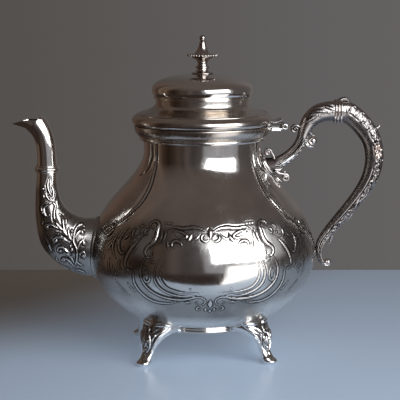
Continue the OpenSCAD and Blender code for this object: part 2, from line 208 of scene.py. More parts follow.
def ovals(p, m):
    """Rings across the XZ plane from rows of X, Z, half height, half width and angle in degrees."""
    t = circle(m)
    x, z, a, b, ang = (p[:, k][:, None] for k in range(5))
    c, s = np.cos(np.radians(ang)), np.sin(np.radians(ang))
    return np.stack([x + a * np.cos(t) * c, b * np.sin(t), z + a * np.cos(t) * s], 2)


def spaced(values, n):
    """n values that run evenly through the given ones."""
    return np.interp(np.linspace(0, 1, n), np.linspace(0, 1, len(values)), values)


def cord(line, radii):
    """The rings of a round bar along a line in space, given its radius along the way."""
    d = unit(np.gradient(line, axis=0))
    side = unit(np.cross(d, [0, 0, 1]))
    up = np.cross(side, d)
    r = spaced(radii, len(line))[:, None, None]
    t = circle(CORD_SIDES)[None, :, None]
    return line[:, None] + r * (np.cos(t) * side[:, None] + np.sin(t) * up[:, None])


def together(surfaces):
    """One set of points and faces from several surfaces made by skin()."""
    verts, faces, at = [], [], 0
    for v, f in surfaces:
        verts.append(v)
        faces += [g + at for g in f]
        at += len(v)
    return np.vstack(verts), faces


def ball(name, x, z, r):
    a = np.radians(np.linspace(-90, 90, 19))
    line = np.stack([r * np.cos(a), r * np.sin(a)], 1)
    line[0, 0] = line[-1, 0] = 0
    lathe(name, line, CAST, segs=BALL_SEGMENTS, at=(x, 0, z))


def ring_normals(rings):
    """The outward normals of rings."""
    du = np.roll(rings, -1, 1) - np.roll(rings, 1, 1)
    dv = np.gradient(rings, axis=0)
    n = unit(np.cross(du, dv))
    out = (n * (rings - rings.mean(1, keepdims=True))).sum(2)
    return np.where(out.mean() < 0, -n, n)


# ---------------- chased relief

def bell(x):
    return (1 - np.minimum(abs(x), 1)**2)**2


class Relief:
    """Heights over a surface, raised and sunk by strokes. places are the surface's points."""

    def __init__(self, places):
        self.p = places.reshape(-1, places.shape[-1])
        self.high = np.zeros(len(self.p))
        self.low = np.zeros(len(self.p))
        self.shape = places.shape[:-1]

    def stroke(self, line, w, h, ends=(0.3, 0.3), ditch=0.35, mid=1.0):
        """A raised line of half width w and height h, narrower at its ends, in a sunk border."""
        line = np.array(line, float)
        k = lengths(line)
        k = k / max(k[-1], 1e-9)
        size = (np.minimum(1, ends[0] + (1 - ends[0]) * k / 0.35)
                * np.minimum(1, ends[1] + (1 - ends[1]) * (1 - k) / 0.35))
        size = size * (1 + (mid - 1) * np.sin(np.pi * k))
        reach = 2.1 * w * max(size.max(), 1)
        sel = np.nonzero(((self.p > line.min(0) - reach) & (self.p < line.max(0) + reach)).all(1))[0]
        if not len(sel):
            return
        a, d = line[:-1], np.diff(line, axis=0)
        q = self.p[sel][:, None, :] - a
        t = np.clip((q * d).sum(2) / np.maximum((d * d).sum(1), 1e-12), 0, 1)
        dist = np.linalg.norm(q - t[..., None] * d, axis=2)
        j = dist.argmin(1)
        row = np.arange(len(sel))
        s = size[j] + (size[j + 1] - size[j]) * t[row, j]
        x = dist[row, j] / (w * s)
        self.high[sel] = np.maximum(self.high[sel], h * s * bell(x))
        self.low[sel] = np.minimum(self.low[sel], -ditch * h * bell((x - 1.25) / 0.7))

    def heights(self):
        h = self.high + self.low * np.clip(1 - self.high / 0.2, 0, 1)
        return h.reshape(self.shape)


def strokes(rows):
    """Strokes from texts: half width, height and any sizes of the two ends, a colon, then points."""
    for row in rows:
        sizes, line = row.split(":")
        w, h, *ends = map(float, sizes.split())
        yield line, w, h, ends or (0.3, 0.3)


def within(x, lo, hi, soft, soft_hi=None):
    """1 well between two limits, and down to 0 at them."""
    return np.clip((x - lo) / soft, 0, 1) * np.clip((hi - x) / (soft_hi or soft), 0, 1)


def hollows(h, gain):
    """How far each point of a height map lies below the points around it."""
    soft = h.copy()
    for _ in range(3):
        soft = (soft + np.roll(soft, 1, 1) + np.roll(soft, -1, 1)) / 3
        up = np.vstack([soft[:1], soft[:-1]])
        down = np.vstack([soft[1:], soft[-1:]])
        soft = (soft + up + down) / 3
    return np.clip((soft - h) * gain, 0, 1)


# ---------------- materials

def connect(nt, value, socket):
    """Gives an input another node's output, or a plain value."""
    if isinstance(value, bpy.types.NodeSocket):
        nt.links.new(value, socket)
    else:
        socket.default_value = value


def node(nt, kind, inputs, out=0, **settings):
    """One output of a new shader node with these inputs and settings."""
    new = nt.nodes.new("ShaderNode" + kind)
    for key, value in settings.items():
        setattr(new, key, value)
    for key, value in inputs.items():
        connect(nt, value, new.inputs[key])
    return new.outputs[out]


def blend(nt, amount, a, b):
    return node(nt, "Mix", {"Factor": amount, "A": a, "B": b}, "Result", data_type="RGBA")


def spread(nt, value, low, high, **settings):
    """A value brought from low..high to 0..1."""
    return node(nt, "MapRange", {"Value": value, "From Min": low, "From Max": high}, **settings)


def silver(name, bright, dark, rough, blotch, worn=1.0):
    """Old silver plate: mirror polish, brown-black tarnishing in the hollows, with painted shade where a
    piece's darkening mark holds it, fine scratches.
    """
    mat = bpy.data.materials.new(name)
    mat.use_nodes = True
    nt = mat.node_tree
    where = node(nt, "TexCoord", {}, "Object")

    def noise(scale, detail, squeeze=None):
        at = where
        if squeeze:
            at = node(nt, "Mapping", {"Vector": where, "Scale": squeeze, "Rotation": (0.4, 0.9, 0.3)})
        return node(nt, "TexNoise", {"Vector": at, "Scale": scale, "Detail": detail}, "Fac")

    def calc(kind, a, b, clamp=False):
        return node(nt, "Math", {0: a, 1: b}, operation=kind, use_clamp=clamp)

    def marked(key):
        return node(nt, "Attribute", {}, "Fac", attribute_name=key)

    # The darkening mark: tarnishing in the hollows and, on some pieces, painted shade, both blended towards
    # the dark colour.
    tarnish_and_shade = marked("tarnish_and_shade")
    patches = calc("MULTIPLY", spread(nt, noise(38, 4), 0.48, 0.72), 0.7)
    film = calc("MULTIPLY", spread(nt, noise(140, 6), 0.5, 0.75), 0.3)
    spots = calc("MULTIPLY", calc("ADD", patches, film), blotch)
    tarnish_and_shade_mix = calc("ADD", calc("MULTIPLY", tarnish_and_shade, 1.25), spots, True)
    haze = calc("MULTIPLY", spread(nt, noise(85, 5), 0.45, 0.8), 0.10 * worn)
    scratches = calc("MULTIPLY", spread(nt, noise(700, 3, (1, 1, 0.08)), 0.55, 0.75), 0.07 * worn)
    dull = calc("ADD", calc("ADD", haze, scratches), calc("MULTIPLY", tarnish_and_shade, 0.30))
    dull = calc("ADD", dull, calc("MULTIPLY", marked("matte"), 0.26))
    fine = calc("ADD", noise(2600, 2, (1, 0.06, 1)), calc("MULTIPLY", noise(420, 4), 0.8))
    shader = nt.nodes["Principled BSDF"].inputs
    connect(nt, 1.0, shader["Metallic"])
    connect(nt, blend(nt, tarnish_and_shade_mix, (*bright, 1), (*dark, 1)), shader["Base Color"])
    connect(nt, calc("ADD", dull, rough, True), shader["Roughness"])
    connect(nt, node(nt, "Bump", {"Strength": 0.22, "Distance": 0.00004, "Height": fine}), shader["Normal"])
    return mat


# Each look is a material, with the name of the record's slot that it belongs to
PLATE = (silver("plated_silver", (0.87, 0.83, 0.78), (0.30, 0.21, 0.14), 0.075, 0.22), "plated_silver")
CHASED = (silver("chased_silver", (0.84, 0.80, 0.75), (0.05, 0.04, 0.035), 0.10, 0.20), "chased_silver")
CAST = (silver("cast_silver", (0.62, 0.565, 0.535), (0.045, 0.034, 0.030), 0.17, 0.38, 1.3), "cast_silver")
# Painted light: a lighter copy of cast silver, for the feet, the strut's leaf, the thumb scroll's cup and
# the hinge leaves.
LIT_CAST_COPY = (silver("cast_silver_lit_copy", (0.90, 0.88, 0.86), (0.05, 0.042, 0.040), 0.12, 0.16, 1.2), CAST[1])
WORN = (silver("cast_silver_worn", (0.90, 0.74, 0.64), (0.16, 0.10, 0.06), 0.22, 0.3, 1.3), CAST[1])
# Painted shade: a darker copy of plated silver that dims the finial.
SHADED_FINIAL_PLATE = (silver("plated_silver_shaded_finial", (0.66, 0.60, 0.56), (0.06, 0.045, 0.035), 0.13, 0.35, 1.2),
          PLATE[1])
PIN = (silver("nickel_silver", (0.15, 0.13, 0.11), (0.06, 0.05, 0.035), 0.30, 0.4, 1.3), "nickel_silver")

for piece in frame["nodes"].values():
    hidden = piece.name.startswith(("hinge_pin", "finial_stud", "finial_washer", "finial_nut"))
    if not piece.material_slots:
        piece.data.materials.append(None)
    for place in piece.material_slots:
        place.material = (PIN if hidden else PLATE)[0]


# ---------------- the pot's wall

FOOT, BELLY, SLOPE, NECK = (np.array(p) for p in ([31, 23.3], [78.9, 71.5], [54.6, 119.0], [41.2, 143.0]))
MOUTH_Z = 160.0
CHASING = 0.62
WALL = 1.1
LOWER_LINE = cubic([FOOT, FOOT + [20, 0], BELLY - [0, 25.5], BELLY], 120)
POT_LINE = joined(LOWER_LINE,
                  cubic([BELLY, BELLY + [0, 19.5], SLOPE + [10.8, -11.7], SLOPE], 90),
                  cubic([SLOPE, SLOPE + [-7.5, 8.1], NECK - [0, 9], NECK], 60), [[NECK[0], MOUTH_Z]])


def moved(line, d):
    """A profile moved sideways by d, outwards where it runs up the pot."""
    return line + d * outward(line)


def pot_r(z, d=0.0):
    line = moved(POT_LINE, d)
    return np.interp(z, line[:, 1], line[:, 0])


def over_pot(y, z, d, side):
    """Points of Y and Z at a height d over the pot's wall, on the spout's side (-1) or the handle's."""
    return np.stack([side * np.sqrt(pot_r(z, d)**2 - y**2), y, z], 1)


def on_pot(pts, side, flip):
    """Points of the pot's wall from degrees round from its front and heights."""
    a = np.radians(pts[:, 0] * flip)
    r = pot_r(pts[:, 1])
    return np.stack([r * np.sin(a) * -side, side * r * np.cos(a), pts[:, 1]], 1)


def chase(relief, pts, w, h, steps=6, **more):
    """One stroke on the right half of the panel, repeated on its left half and on the back."""
    line = smooth(pts, steps)
    for side, flip in ((-1, 1), (-1, -1), (1, 1), (1, -1)):
        relief.stroke(on_pot(line, side, flip), w, h, **more)


def curl(a, z, r, a0, turns, grow=0.25):
    """A small spiral in degrees and heights, about a place on the panel."""
    pts = spiral(0, 0, r, r * grow, a0, turns, 14)
    k = 180 / math.pi / float(pot_r(z))
    return [[a + p[0] * k, z + p[1]] for p in pts]


# The chasing on the right half of a panel: half width, height and any sizes of the two ends, then points
# in degrees round from the middle and heights
CHASED_STROKES = (
    # The straps round the plain oval
    "0.8 0.55 0.2 0.2: 22.6 79, 24 73.6, 24.6 69.2, 23.9 64.8, 21.2 60.2, 15.6 57.7, 9.5 57.1, 4 57.6",
    "0.95 0.65 0.2 0.2: 24.6 80, 26.6 75, 27.6 69.6, 27.3 64.6, 25.6 60.4, 22 56.9, 16 54.7, 9.5 54.6, "
    "6 55.4",
    "1.05 0.8 0.3 0.3: 29.2 83, 31.8 80, 34 76.4, 35.3 71.4, 35 65.6, 33 60.2, 29.4 56, 24.2 53.2, "
    "17 52, 11 52.8, 7.6 54, 4.4 53.6, 2.6 51.2, 3.6 48.6, 6 48, 7.6 49.8, 6.6 51.4",
    "1.0 0.7 0.2 0.15: 34.8 77.4, 37.6 74.2, 39.6 69, 39.8 62.6, 38 56.4, 34 51.2, 28.6 48.6, 22 48.6, "
    "16.6 50.2, 13.2 51.6",
    "0.6 0.3: 28.8 65, 28.2 61.6, 26 58.4",
    # The tear-shaped loop between the straps
    "0.75 0.6: 33.2 75.2, 31 72, 30 67.8, 30.8 64.2, 32.6 63.2, 33.5 66, 32.9 69.4, 31.4 72.4",
    # Strokes outside the straps
    "0.8 0.5: 44 60.8, 42.6 57.4, 39.8 54",
    "0.8 0.5: 52.8 61, 50.4 56, 46 51.4",
    "0.7 0.45: 53.4 71, 52.8 67.8, 51.4 64.4",
    "0.6 0.35: 51.2 71.4, 50.9 68.4, 49.6 65.8",
    # The long C down the side of the panel
    "1.15 0.9 0.25 0.4: 35.6 93, 38.4 89.4, 41.6 84.2, 43.8 78.4, 44.6 73.8, 43.4 70.2, 41.4 70.4",
    "0.6 0.35: 37.2 86.6, 39.4 83.2, 41 79.4",
    # The S from the top corner with its two curls
    "1.15 0.95 0.3 0.3: 30.6 97.6, 33 98.8, 33.2 101, 30.8 102.2, 28.4 100.6, 28.2 96.6, 28.6 92, "
    "30 88.4, 32.6 85.6, 33.2 82.6, 31.4 79.8, 29 80.2, 28.8 82",
    "0.7 0.55: 26.6 99, 25.4 95, 26 91, 27.4 87.6",
    "0.7 0.5: 24.2 98.4, 23.4 95.4, 24 91.8, 25.2 89",
    "0.7 0.5: 30.6 78, 28.4 76.6, 27.2 78.4",
    # The foliage along the top of the oval
    "1.0 0.7: 1 96.6, 4.4 98.8, 9 99.6, 14.6 98.8, 19.4 99.4, 22.6 97.4",
    "0.75 0.6: 20.2 96.6, 17.4 97.2, 14.4 96.2, 12 94.4, 13.6 93, 16.6 93.6, 18.6 95",
    "0.9 0.75: 14.2 87.4, 14.8 89.6, 16.8 91, 19 90.4, 19.6 88, 18.2 86.6",
    "0.8 0.5: 21.6 92, 21.8 88.6, 20.6 85.4",
    "0.7 0.5: 5.2 95.8, 6.8 93.4, 9 92.4, 9.6 94.2",
    "0.8 0.65: 0.4 92.4, 2.6 91.2, 4.6 92.6, 4 95, 1.8 95.6",
    # The flower and scrolls at the foot of the oval
    "0.7 0.5: 4.6 45.6, 6.4 46.4, 7.4 45, 6 44, 4.6 44.8",
    "0.8 0.6: 10 49.8, 12 50, 13.6 49.2",
    "0.8 0.5: 1.6 46.2, 2.6 44.4, 1.6 42.8",
    "1.1 0.5: 0 44.4, 0 42.2",
    "0.7 0.4: 9.6 60.4, 10.6 58.8",
    # The leaves and scrolls where the ribs end
    "0.8 0.5: 56 132, 54.6 126.6, 53.6 121, 54.2 117.6",
    "0.65 0.4: 58.2 126, 57.4 121.6, 58 118",
    "0.8 0.55: 49.2 104.6, 51.4 101, 54 98.8",
    "0.9 0.7: 65.4 97.4, 68.4 95.4, 70.6 91.6, 69.6 88.8, 67.2 89.2",
    "0.9 0.6: 56.8 91.4, 58.6 88, 61 85.4",
    "1.0 0.65: 72.2 88.6, 74.6 84, 75.8 78.6, 75.4 71.6, 73.6 66",
    "0.7 0.4: 70.4 82, 71.8 77, 71.2 71.4",
    # The acanthus that fills the panel's upper corners, outside the long C
    "1.1 0.85: 47 96, 49.4 92.4, 50.8 87.8, 50 83.2, 47.4 80, 45.8 81.6, 46.8 84.4",
    "1.0 0.65: 52.6 93.6, 54.4 89.4, 55 84.6, 53.8 79.6, 51 76",
    "0.9 0.6: 48.2 89.6, 46.2 90.8, 45.4 93.4",
    "0.9 0.55: 55.8 86, 57.8 83, 58.4 79",
    "0.7 0.5: 52.8 84.6, 51.6 86.4, 52.4 88.2, 53.6 86.4",
    "0.9 0.65: 41.4 97.6, 43 94.4, 42.4 91.4, 40.4 91.2",
    "0.8 0.55: 36.4 99.8, 38.6 98, 38.8 95.6",
    "0.9 0.5: 56 76, 57.2 71, 56.6 66, 54.6 62",
    "0.8 0.4: 60.6 80, 62.2 74.6, 62 69",
    "0.8 0.55: 47.4 76.6, 49 73, 48.4 69.6, 46.6 69.4")


def pot_relief(relief):
    for line, w, h, ends in strokes(CHASED_STROKES):
        chase(relief, line, w, h, ends=ends)
    # The strokes with a wide middle
    for line, w, h, mid in (("9.6 96.2, 10.4 93.2, 12.4 90.6", 0.9, 0.55, 1.3),
                            ("0 99.6, 0 96.6, 0 93.4", 1.3, 0.75, 1.3),
                            ("0 52, 0 49, 0 46", 1.3, 0.7, 1.3),
                            ("57.6 94.6, 60.4 91.2, 63.8 88.2", 1.1, 0.8, 1.2),
                            ("62.6 94.4, 65.4 92.6, 67.6 90", 1.1, 0.75, 1.2)):
        chase(relief, line, w, h, mid=mid)
    # The curl in the S, the ring boss, and the beads in a row
    chase(relief, curl(34.4, 95.2, 2.0, 150, -1.1), 0.8, 0.7)
    chase(relief, curl(60, 96.4, 1.9, 90, 1.0, 1.0), 0.85, 0.95, ends=(1, 1))
    for a, z in points("24.6 101.6, 22.8 101.4, 21 101.4, 38.2 94, 40 91.6, 42 88.6"):
        chase(relief, [(a, z), (a + 0.3, z)], 0.75, 0.6, ends=(1, 1))
    # The ribs that run down from the neck
    chase(relief, "53.4 150, 53.4 143, 52.6 136, 50.4 129.6, 47.8 124, 46.4 118.4, 46.8 112.4, 49.4 107, "
                  "52.8 102.2, 56.6 98.4", 1.15, 1.0, steps=10, ends=(0.8, 0.6), ditch=0.55)
    chase(relief, "58.6 150, 60.6 145, 62 139, 62.8 133.4, 65.6 129.6, 70.4 127", 1.1, 0.95,
          ends=(0.8, 0.3), ditch=0.55)


def pot_wall():
    up = POT_LINE[:, 1]
    low, worked_part, high = up < 38, (up >= 38) & (up < 106), (up >= 106) & (up <= 152)
    rows_line = joined(even(POT_LINE[low], 1.6 * COARSE), even(POT_LINE[worked_part], 0.62 * COARSE),
                       even(POT_LINE[high], 0.8 * COARSE), [[NECK[0], 154], [NECK[0], MOUTH_Z]])
    # The wall turns out to the bead in a small cove
    up = rows_line[:, 1]
    rows_line[:, 0] += 1.5 * np.clip((up - 144.5) / 6, 0, 1)**2.2 * (up < 151.6)
    # Columns are close together on the two panels and wide apart behind the spout and handle
    bend = circle(int(760 / COARSE))
    phi = bend + 0.19 * np.sin(2 * bend)
    z = rows_line[:, 1:]
    base, normal = turned(rows_line, phi), turned(outward(rows_line), phi)
    relief = Relief(base)
    pot_relief(relief)
    h = relief.heights() * CHASING
    front = abs((np.degrees(phi) + 180) % 180 - 90)[None, :] + 0 * z
    # Tarnish stays where a polishing cloth doesn't reach, round the foliage
    worked = (1.2 * within(front, 28, 80, 5) * within(z, 43, 104, 8)
              + within(front, -9, 30, 4) * within(z, 86, 101, 3)
              + 1.5 * within(front, -99, 38, 14) * within(z, 31, 57, 7))
    tarnish_and_shade = np.clip(hollows(h, 5.5) + 0.30 * np.clip(worked, 0, 1.5) * bell(h / 0.35), 0, 1)
    # The punched ground between the straps and the long C
    ground = within(front, 29, 43.5, 3) * within(z, 76, 99, 6, 3) * (h < 0.12)
    h = h - 0.05 * ground * (np.sin(front * 7.1) * np.sin(z * 5.3) > 0.25)
    # Slight unevenness, as a hand-finished wall has
    for _ in range(9):
        a, b, c = rng.uniform(2, 11), rng.uniform(0.05, 0.28), rng.uniform(0, 6.28)
        h = h + 0.03 * np.sin(np.round(a) * phi[None, :] + c) * np.sin(b * z + c * 2)
    # The side panels lie a little lower than the front and back ones
    side = np.clip((front - 52) / 5, 0, 1)
    h = (h - 0.35 * side * within(z, 96, 150, 14, 8)) * within(z, 24, 151.5, 6, 3)
    outer = base + normal * h[..., None]
    inner_line = moved(POT_LINE, -WALL)
    inner_line = joined(even(inner_line[(inner_line[:, 1] > 24.6)], 4.0)[::-1])
    inner_line[0, 1] = MOUTH_Z
    inner = turned(inner_line, phi)
    rings = np.concatenate([outer, inner])
    tarnish_and_shade = np.vstack([tarnish_and_shade, np.full(inner.shape[:2], 0.25)])
    matte = np.vstack([ground + 0.45 * np.clip((52 - z) / 10, 0, 1), np.full(inner.shape[:2], 0.8)])
    make_mesh("pot_wall", skin(rings, looped=True), CHASED, "pot",
              ("body_bowl", "body_shoulder", "body_neck"), tarnish_and_shade.ravel(), matte.ravel(), crease=60)


pot_wall()


# ---------------- turned parts of the pot

lathe("pot_foot_ring",
      joined("33.5 19.8, 34.6 19.8", arc(34.8, 20.4, 0.5, -60, 60, 6), "34.5 21.2",
             arc(34.6, 22.2, 0.45, -70, 70, 6), "34.6 23.2, 33.5 23.2, 33.5 19.8"),
      PLATE, replaces=("foot_ring",))
COLLAR_FACE = cubic([[44.4, 152.9], [45.6, 153.6], [47.4, 155.8], [47.6, MOUTH_Z - 0.6]], 24)
# The collar's tone darkens it: painted shade under the lid's rim, partly tarnishing in the crevice.
lathe("neck_moulding",
      joined("41.3 152.9", COLLAR_FACE, "47.5 159.8, 47.2 160, 41.2 160, 41.2 159",
             moved(COLLAR_FACE, -1)[::-1][2:-3], "44.2 153.9, 41.3 153.9, 41.3 152.9"),
      PLATE, replaces=("neck_collar",), tone=0.35, dull=0.2)
lathe("neck_bead_moulding",
      joined("41.3 149.9", arc(42.7, 151.4, 1.5, -90, 90, 20), "41.3 152.9, 41.3 149.9"),
      PLATE, replaces=("neck_bead",))


# ---------------- spout

FLANGE = (17.5, 22.0, 74.3)
SPOUT_START = 1.8 - 0.1
SPOUT_CHASING = 0.8
SPOUT_WALL = 1.0
INNER_STEP = 6
JOINT = (-107.8, 129.0)
# The spout's rows of X, Z, half height, half width and angle, as ovals() takes them
SPOUT = joined("-81 75 20.7 16.2 90, -89 77.5 20 15.8 83, -96.9 82.3 18.1 15 69, -103.6 89.7 15.6 13.6 54, "
               "-107 99.7 11.7 11.6 39, -108.1 108.3 9.4 9.9 27, -108.5 116.2 7.9 8.4 16, "
               "-108 124.5 7.2 7.3 4", [[*JOINT, 7.2, 7.2, 0]])


def spout_flange():
    t = circle(int(160 / COARSE))
    # How far in from the flange's edge, and how high over the pot
    profile = points("4.4 0.05, 4.4 1.5, 3.2 1.75, 2.4 1.75, 2 1.25, 1.6 1.15, 1.3 1.5, 0.9 1.75, 0.4 1.7, "
                     "0.1 1.3, 0 0.7, 0 0.05")
    rings = []
    for inset, d in profile:
        y = (FLANGE[0] - inset) * np.cos(t)
        z = FLANGE[2] + (FLANGE[1] - inset) * np.sin(t)
        rings.append(over_pot(y, z, d, -1))
    make_mesh("spout_mount", skin(np.array(rings), looped=True), CHASED, replaces=("spout_flange",),
              tarnish_and_shade=0.4, crease=50)


# The chasing of the spout as seen from the side: half width and height, then points in X and Z
SPOUT_STROKES = (
    "0.95 0.9: -90.4 61.5, -88.6 66.5, -87.8 72, -88.4 77, -90.6 81.8, -94 85, -98 87.6, -102.6 88.6",
    "1.0 1.0: -92.8 84.6, -96.6 88.4, -100.2 92.2, -102.6 96, -103.2 100.6, -102.4 105.6, -103.8 107.6",
    "0.9 0.8: -92.8 80.6, -95.8 83, -98.6 84.5, -102 84.3, -104.2 82.6, -103.2 80.9, -101.9 81.6",
    "0.9 0.8: -91 71, -94 74.2, -97.4 77, -100.2 77.4, -101.2 75, -99.5 74",
    "0.9 0.7: -89.8 65.6, -91.6 69.6, -94.4 72.6, -97.4 73.2",
    "0.9 0.75: -90 63.2, -92.2 66.2, -94.8 68.8, -97.6 69.2, -98.4 67.4, -96.9 66.9",
    "0.9 0.85: -89.2 77.6, -89.9 82, -89.4 87.4, -87.4 91.2, -84.4 92.6, -82.6 91",
    "0.8 0.65: -89.2 83.6, -87.6 86.6, -85 88.9, -82 89.2",
    "0.85 0.75: -88 74, -87.2 77.6, -85.2 81, -82.8 82.4",
    "0.8 0.7: -86.4 69.4, -85.6 73.4, -83.2 74, -82.2 71.4, -83.6 69.6",
    "0.8 0.6: -88.4 68, -86.6 65.4, -84.2 64.4",
    "0.85 0.8: -98.2 89.2, -102.2 91.4, -106 93, -109 92.2, -108.8 89.8, -107.2 90.2",
    "0.8 0.7: -110 107.8, -111.9 104.6, -111.4 100.6, -109.6 98.6",
    "0.8 0.75: -107.6 106, -110 104.6, -110 101.4, -108.4 98.6, -106.2 99.6",
    "0.7 0.55: -111.4 96.2, -111 94.4, -112 92.4",
    "0.9 0.7: -109.6 85, -107.6 80, -105.6 74.2",
    "1.0 0.85: -99.4 100, -97.6 97.4, -97 93.6, -96.4 90, -95 87.6",
    "0.8 0.6: -97 100.4, -95.4 97.6, -95 94",
    "0.9 0.8: -93.4 90.6, -93.4 87.2, -92 83.6",
    "1.0 0.8: -106.6 124, -107.4 119.6, -106.6 115.6, -105 112.4",
    "0.9 0.75: -104.4 118.6, -103.4 114.4, -104.2 110.6",
    "0.9 0.75: -108.8 115.4, -108.2 112, -106.4 109.6",
    "0.8 0.7: -104.6 108.4, -107 107.2, -107.8 109",
    "0.8 0.6: -100.8 110.6, -101.4 107.4, -100.4 104.4",
    "0.6 0.45: -110.2 113, -110.4 110.6",
    "0.8 0.6: -89.6 59.6, -86.4 60.2, -82.4 58.2",
    "0.8 0.5: -99.6 63.6, -96.6 61.6, -93 60.4",
    "0.7 0.45: -102.6 70.6, -102 67.6, -100.2 65.4")


def spout_base():
    m = int(150 / COARSE)
    line = even(smooth(SPOUT, 24), 0.62 * COARSE)
    outer = ovals(line, m)
    outer[0] = over_pot(outer[0, :, 1], outer[0, :, 2], SPOUT_START, -1)
    normal = ring_normals(outer)
    relief = Relief(outer[:, :, [0, 2]])
    for line_text, w, h, _ in strokes(SPOUT_STROKES):
        relief.stroke(smooth(line_text, 6), w, h, ends=(0.45, 0.55), ditch=0.4)
    beads = points("-102.3 81.9 1.2, -99.6 74.6 1.2, -96.9 67.6 1.1, -84.2 87.8 1.3, -83.2 80.2 1.2, "
                   "-83.8 71.8 1.3, -91.5 75.6 1.1, -92.3 78.2 0.9, -91.2 88.6 1, -108.3 91.2 1.1, "
                   "-106.8 111.8 1, -110.6 117.2 0.8")
    for x, z, r in beads:
        relief.stroke([(x, z), (x + 0.1, z)], r, 0.9, ends=(1, 1))
    h = relief.heights() * SPOUT_CHASING
    facing = np.clip((abs(normal[:, :, 1]) - 0.12) / 0.25, 0, 1)
    h = h * facing * np.clip(np.arange(len(line)) / 4, 0, 1)[:, None]
    outer_r = outer + normal * h[..., None]
    thin = joined(line[::-INNER_STEP], line[:1])
    thin[:, 2:4] -= SPOUT_WALL
    inner = ovals(thin, m)
    inner[-1] = over_pot(inner[-1, :, 1], inner[-1, :, 2], SPOUT_START, -1)
    rings = np.concatenate([outer_r, inner])
    ground = facing * within(line[:, 1:2], 60, 122, 5) * bell(h / 0.4) * 0.4
    tarnish_and_shade = np.vstack([np.clip(hollows(h, 4.0) + ground, 0, 1), np.full(inner.shape[:2], 0.5)])
    make_mesh("spout_chased_base", skin(rings, looped=True), CHASED, replaces=("spout_base",),
              tarnish_and_shade=tarnish_and_shade.ravel(), crease=60)


def lip(d, m):
    """The mouth's rim, from a tall back round both sides to a long beak."""
    t = circle(m)
    f = (1 - np.cos(t)) / 2
    back = np.maximum(np.cos(t), 0)**1.6
    return np.stack([-120.9 + (9.3 - d) * np.cos(t) * (1 + 0.17 * f**4) + 4.7 * np.sin(t)**2,
                     (6.5 - d) * np.sin(t) * (1 - 0.25 * f * f),
                     163.1 + 4.4 * back + 1.6 * np.sin(np.pi * f * f) - 1.6 * f**3], 1)


def spout_tip():
    m = int(96 / COARSE)
    stations = joined([[JOINT[0], JOINT[1] + 0.08, 7.1, 7.1, 0]],
                      "-107.9 137 6.7 6.8 0, -108.3 145 6.65 6.6 4, -109.4 150.9 6.7 6.5 14, "
                      "-111.6 156.6 7 6.5 24, -115.6 162.2 7.8 6.4 28")
    line = smooth(stations, 10)
    thin = line.copy()
    thin[:, 2:4] -= SPOUT_WALL
    last_o, last_i = ovals(line[-1:], m)[0], ovals(thin[-1:], m)[0]
    edge_o, edge_i = lip(0.12, m), lip(0.9, m)
    k = np.linspace(0, 1, 7)[1:, None, None]
    outer = np.concatenate([ovals(line, m), last_o + (edge_o - last_o) * k])
    inner = np.concatenate([ovals(thin, m), last_i + (edge_i - last_i) * k])
    rim = (lip(0.5, m) + [0, 0, 0.14])[None]
    rings = np.concatenate([outer, rim, inner[::-1]])
    make_mesh("spout_swan_tip", skin(rings, looped=True), PLATE, replaces=("spout_tip",), crease=60)


spout_flange()
spout_base()
spout_tip()
lathe("spout_joint_ring",
      joined("7.2 127.8", arc(7.6, 128.3, 0.5, -90, 60, 8), arc(7.8, 130.2, 1.1, -60, 60, 16),
             arc(7.6, 132.1, 0.5, -60, 90, 8), "7.2 132.6, 7.2 127.8"),
      PLATE, replaces=("spout_collar",), segs=96, at=(JOINT[0], 0, 0))


# ---------------- handle

# The handle's stations: X, Z, half thickness and half width
HANDLE = points("46 131.2 5.4 4.6, 52.5 132.6 4.9 4.4, 59.6 136.8 4.4 4.3, 65.6 142.4 4.2 4.4, "
                "69.4 149.2 4.1 4.7, 71.8 156.4 4.9 5.1, 75.4 162.8 6 5.4, 81.2 167.2 6.8 5.8, "
                "88.4 168.8 7.1 6, 94.6 168.8 7.3 6.1, 101 168.1 7.7 6.2, 108.2 163 7.6 6.3, "
                "114.4 156 7.4 6.4, 118.9 148.2 7 6.4, 120.9 139 6.8 6.2, 120.3 129.6 6.5 6, "
                "117 119.6 6 5.7, 110.6 109.4 5.3 5.3, 102.6 99.4 4.8 4.9, 94.8 90.4 4.4 4.6, "
                "87.8 82 3.9 4.3, 83.4 75.6 3.2 4.1, 82.3 69.4 2.5 3.9, 83.6 63.4 2 3.7, 87 60.4 1.6 3.5")
STEPS = 20
HANDLE_LINE = smooth(HANDLE, STEPS)
heading = unit(np.gradient(HANDLE_LINE[:, :2], axis=0))
HANDLE_LINE = np.column_stack([HANDLE_LINE, np.degrees(np.arctan2(heading[:, 1], heading[:, 0])) + 90])


def handle_values(s, *columns):
    """X, Z, half thickness, half width or angle (0 to 4) of the handle at the station s."""
    i = np.asarray(s, float) * STEPS
    return [np.interp(i, np.arange(len(HANDLE_LINE)), HANDLE_LINE[:, c]) for c in columns]


def handle_at(s, q):
    """A point in X and Z: s is the station, and q runs from -1 on the inside to 1 on the outside."""
    x, z, a, ang = handle_values(s, 0, 1, 2, 4)
    ang = np.radians(ang)
    return np.stack([x + q * a * np.cos(ang), z + q * a * np.sin(ang)], -1)


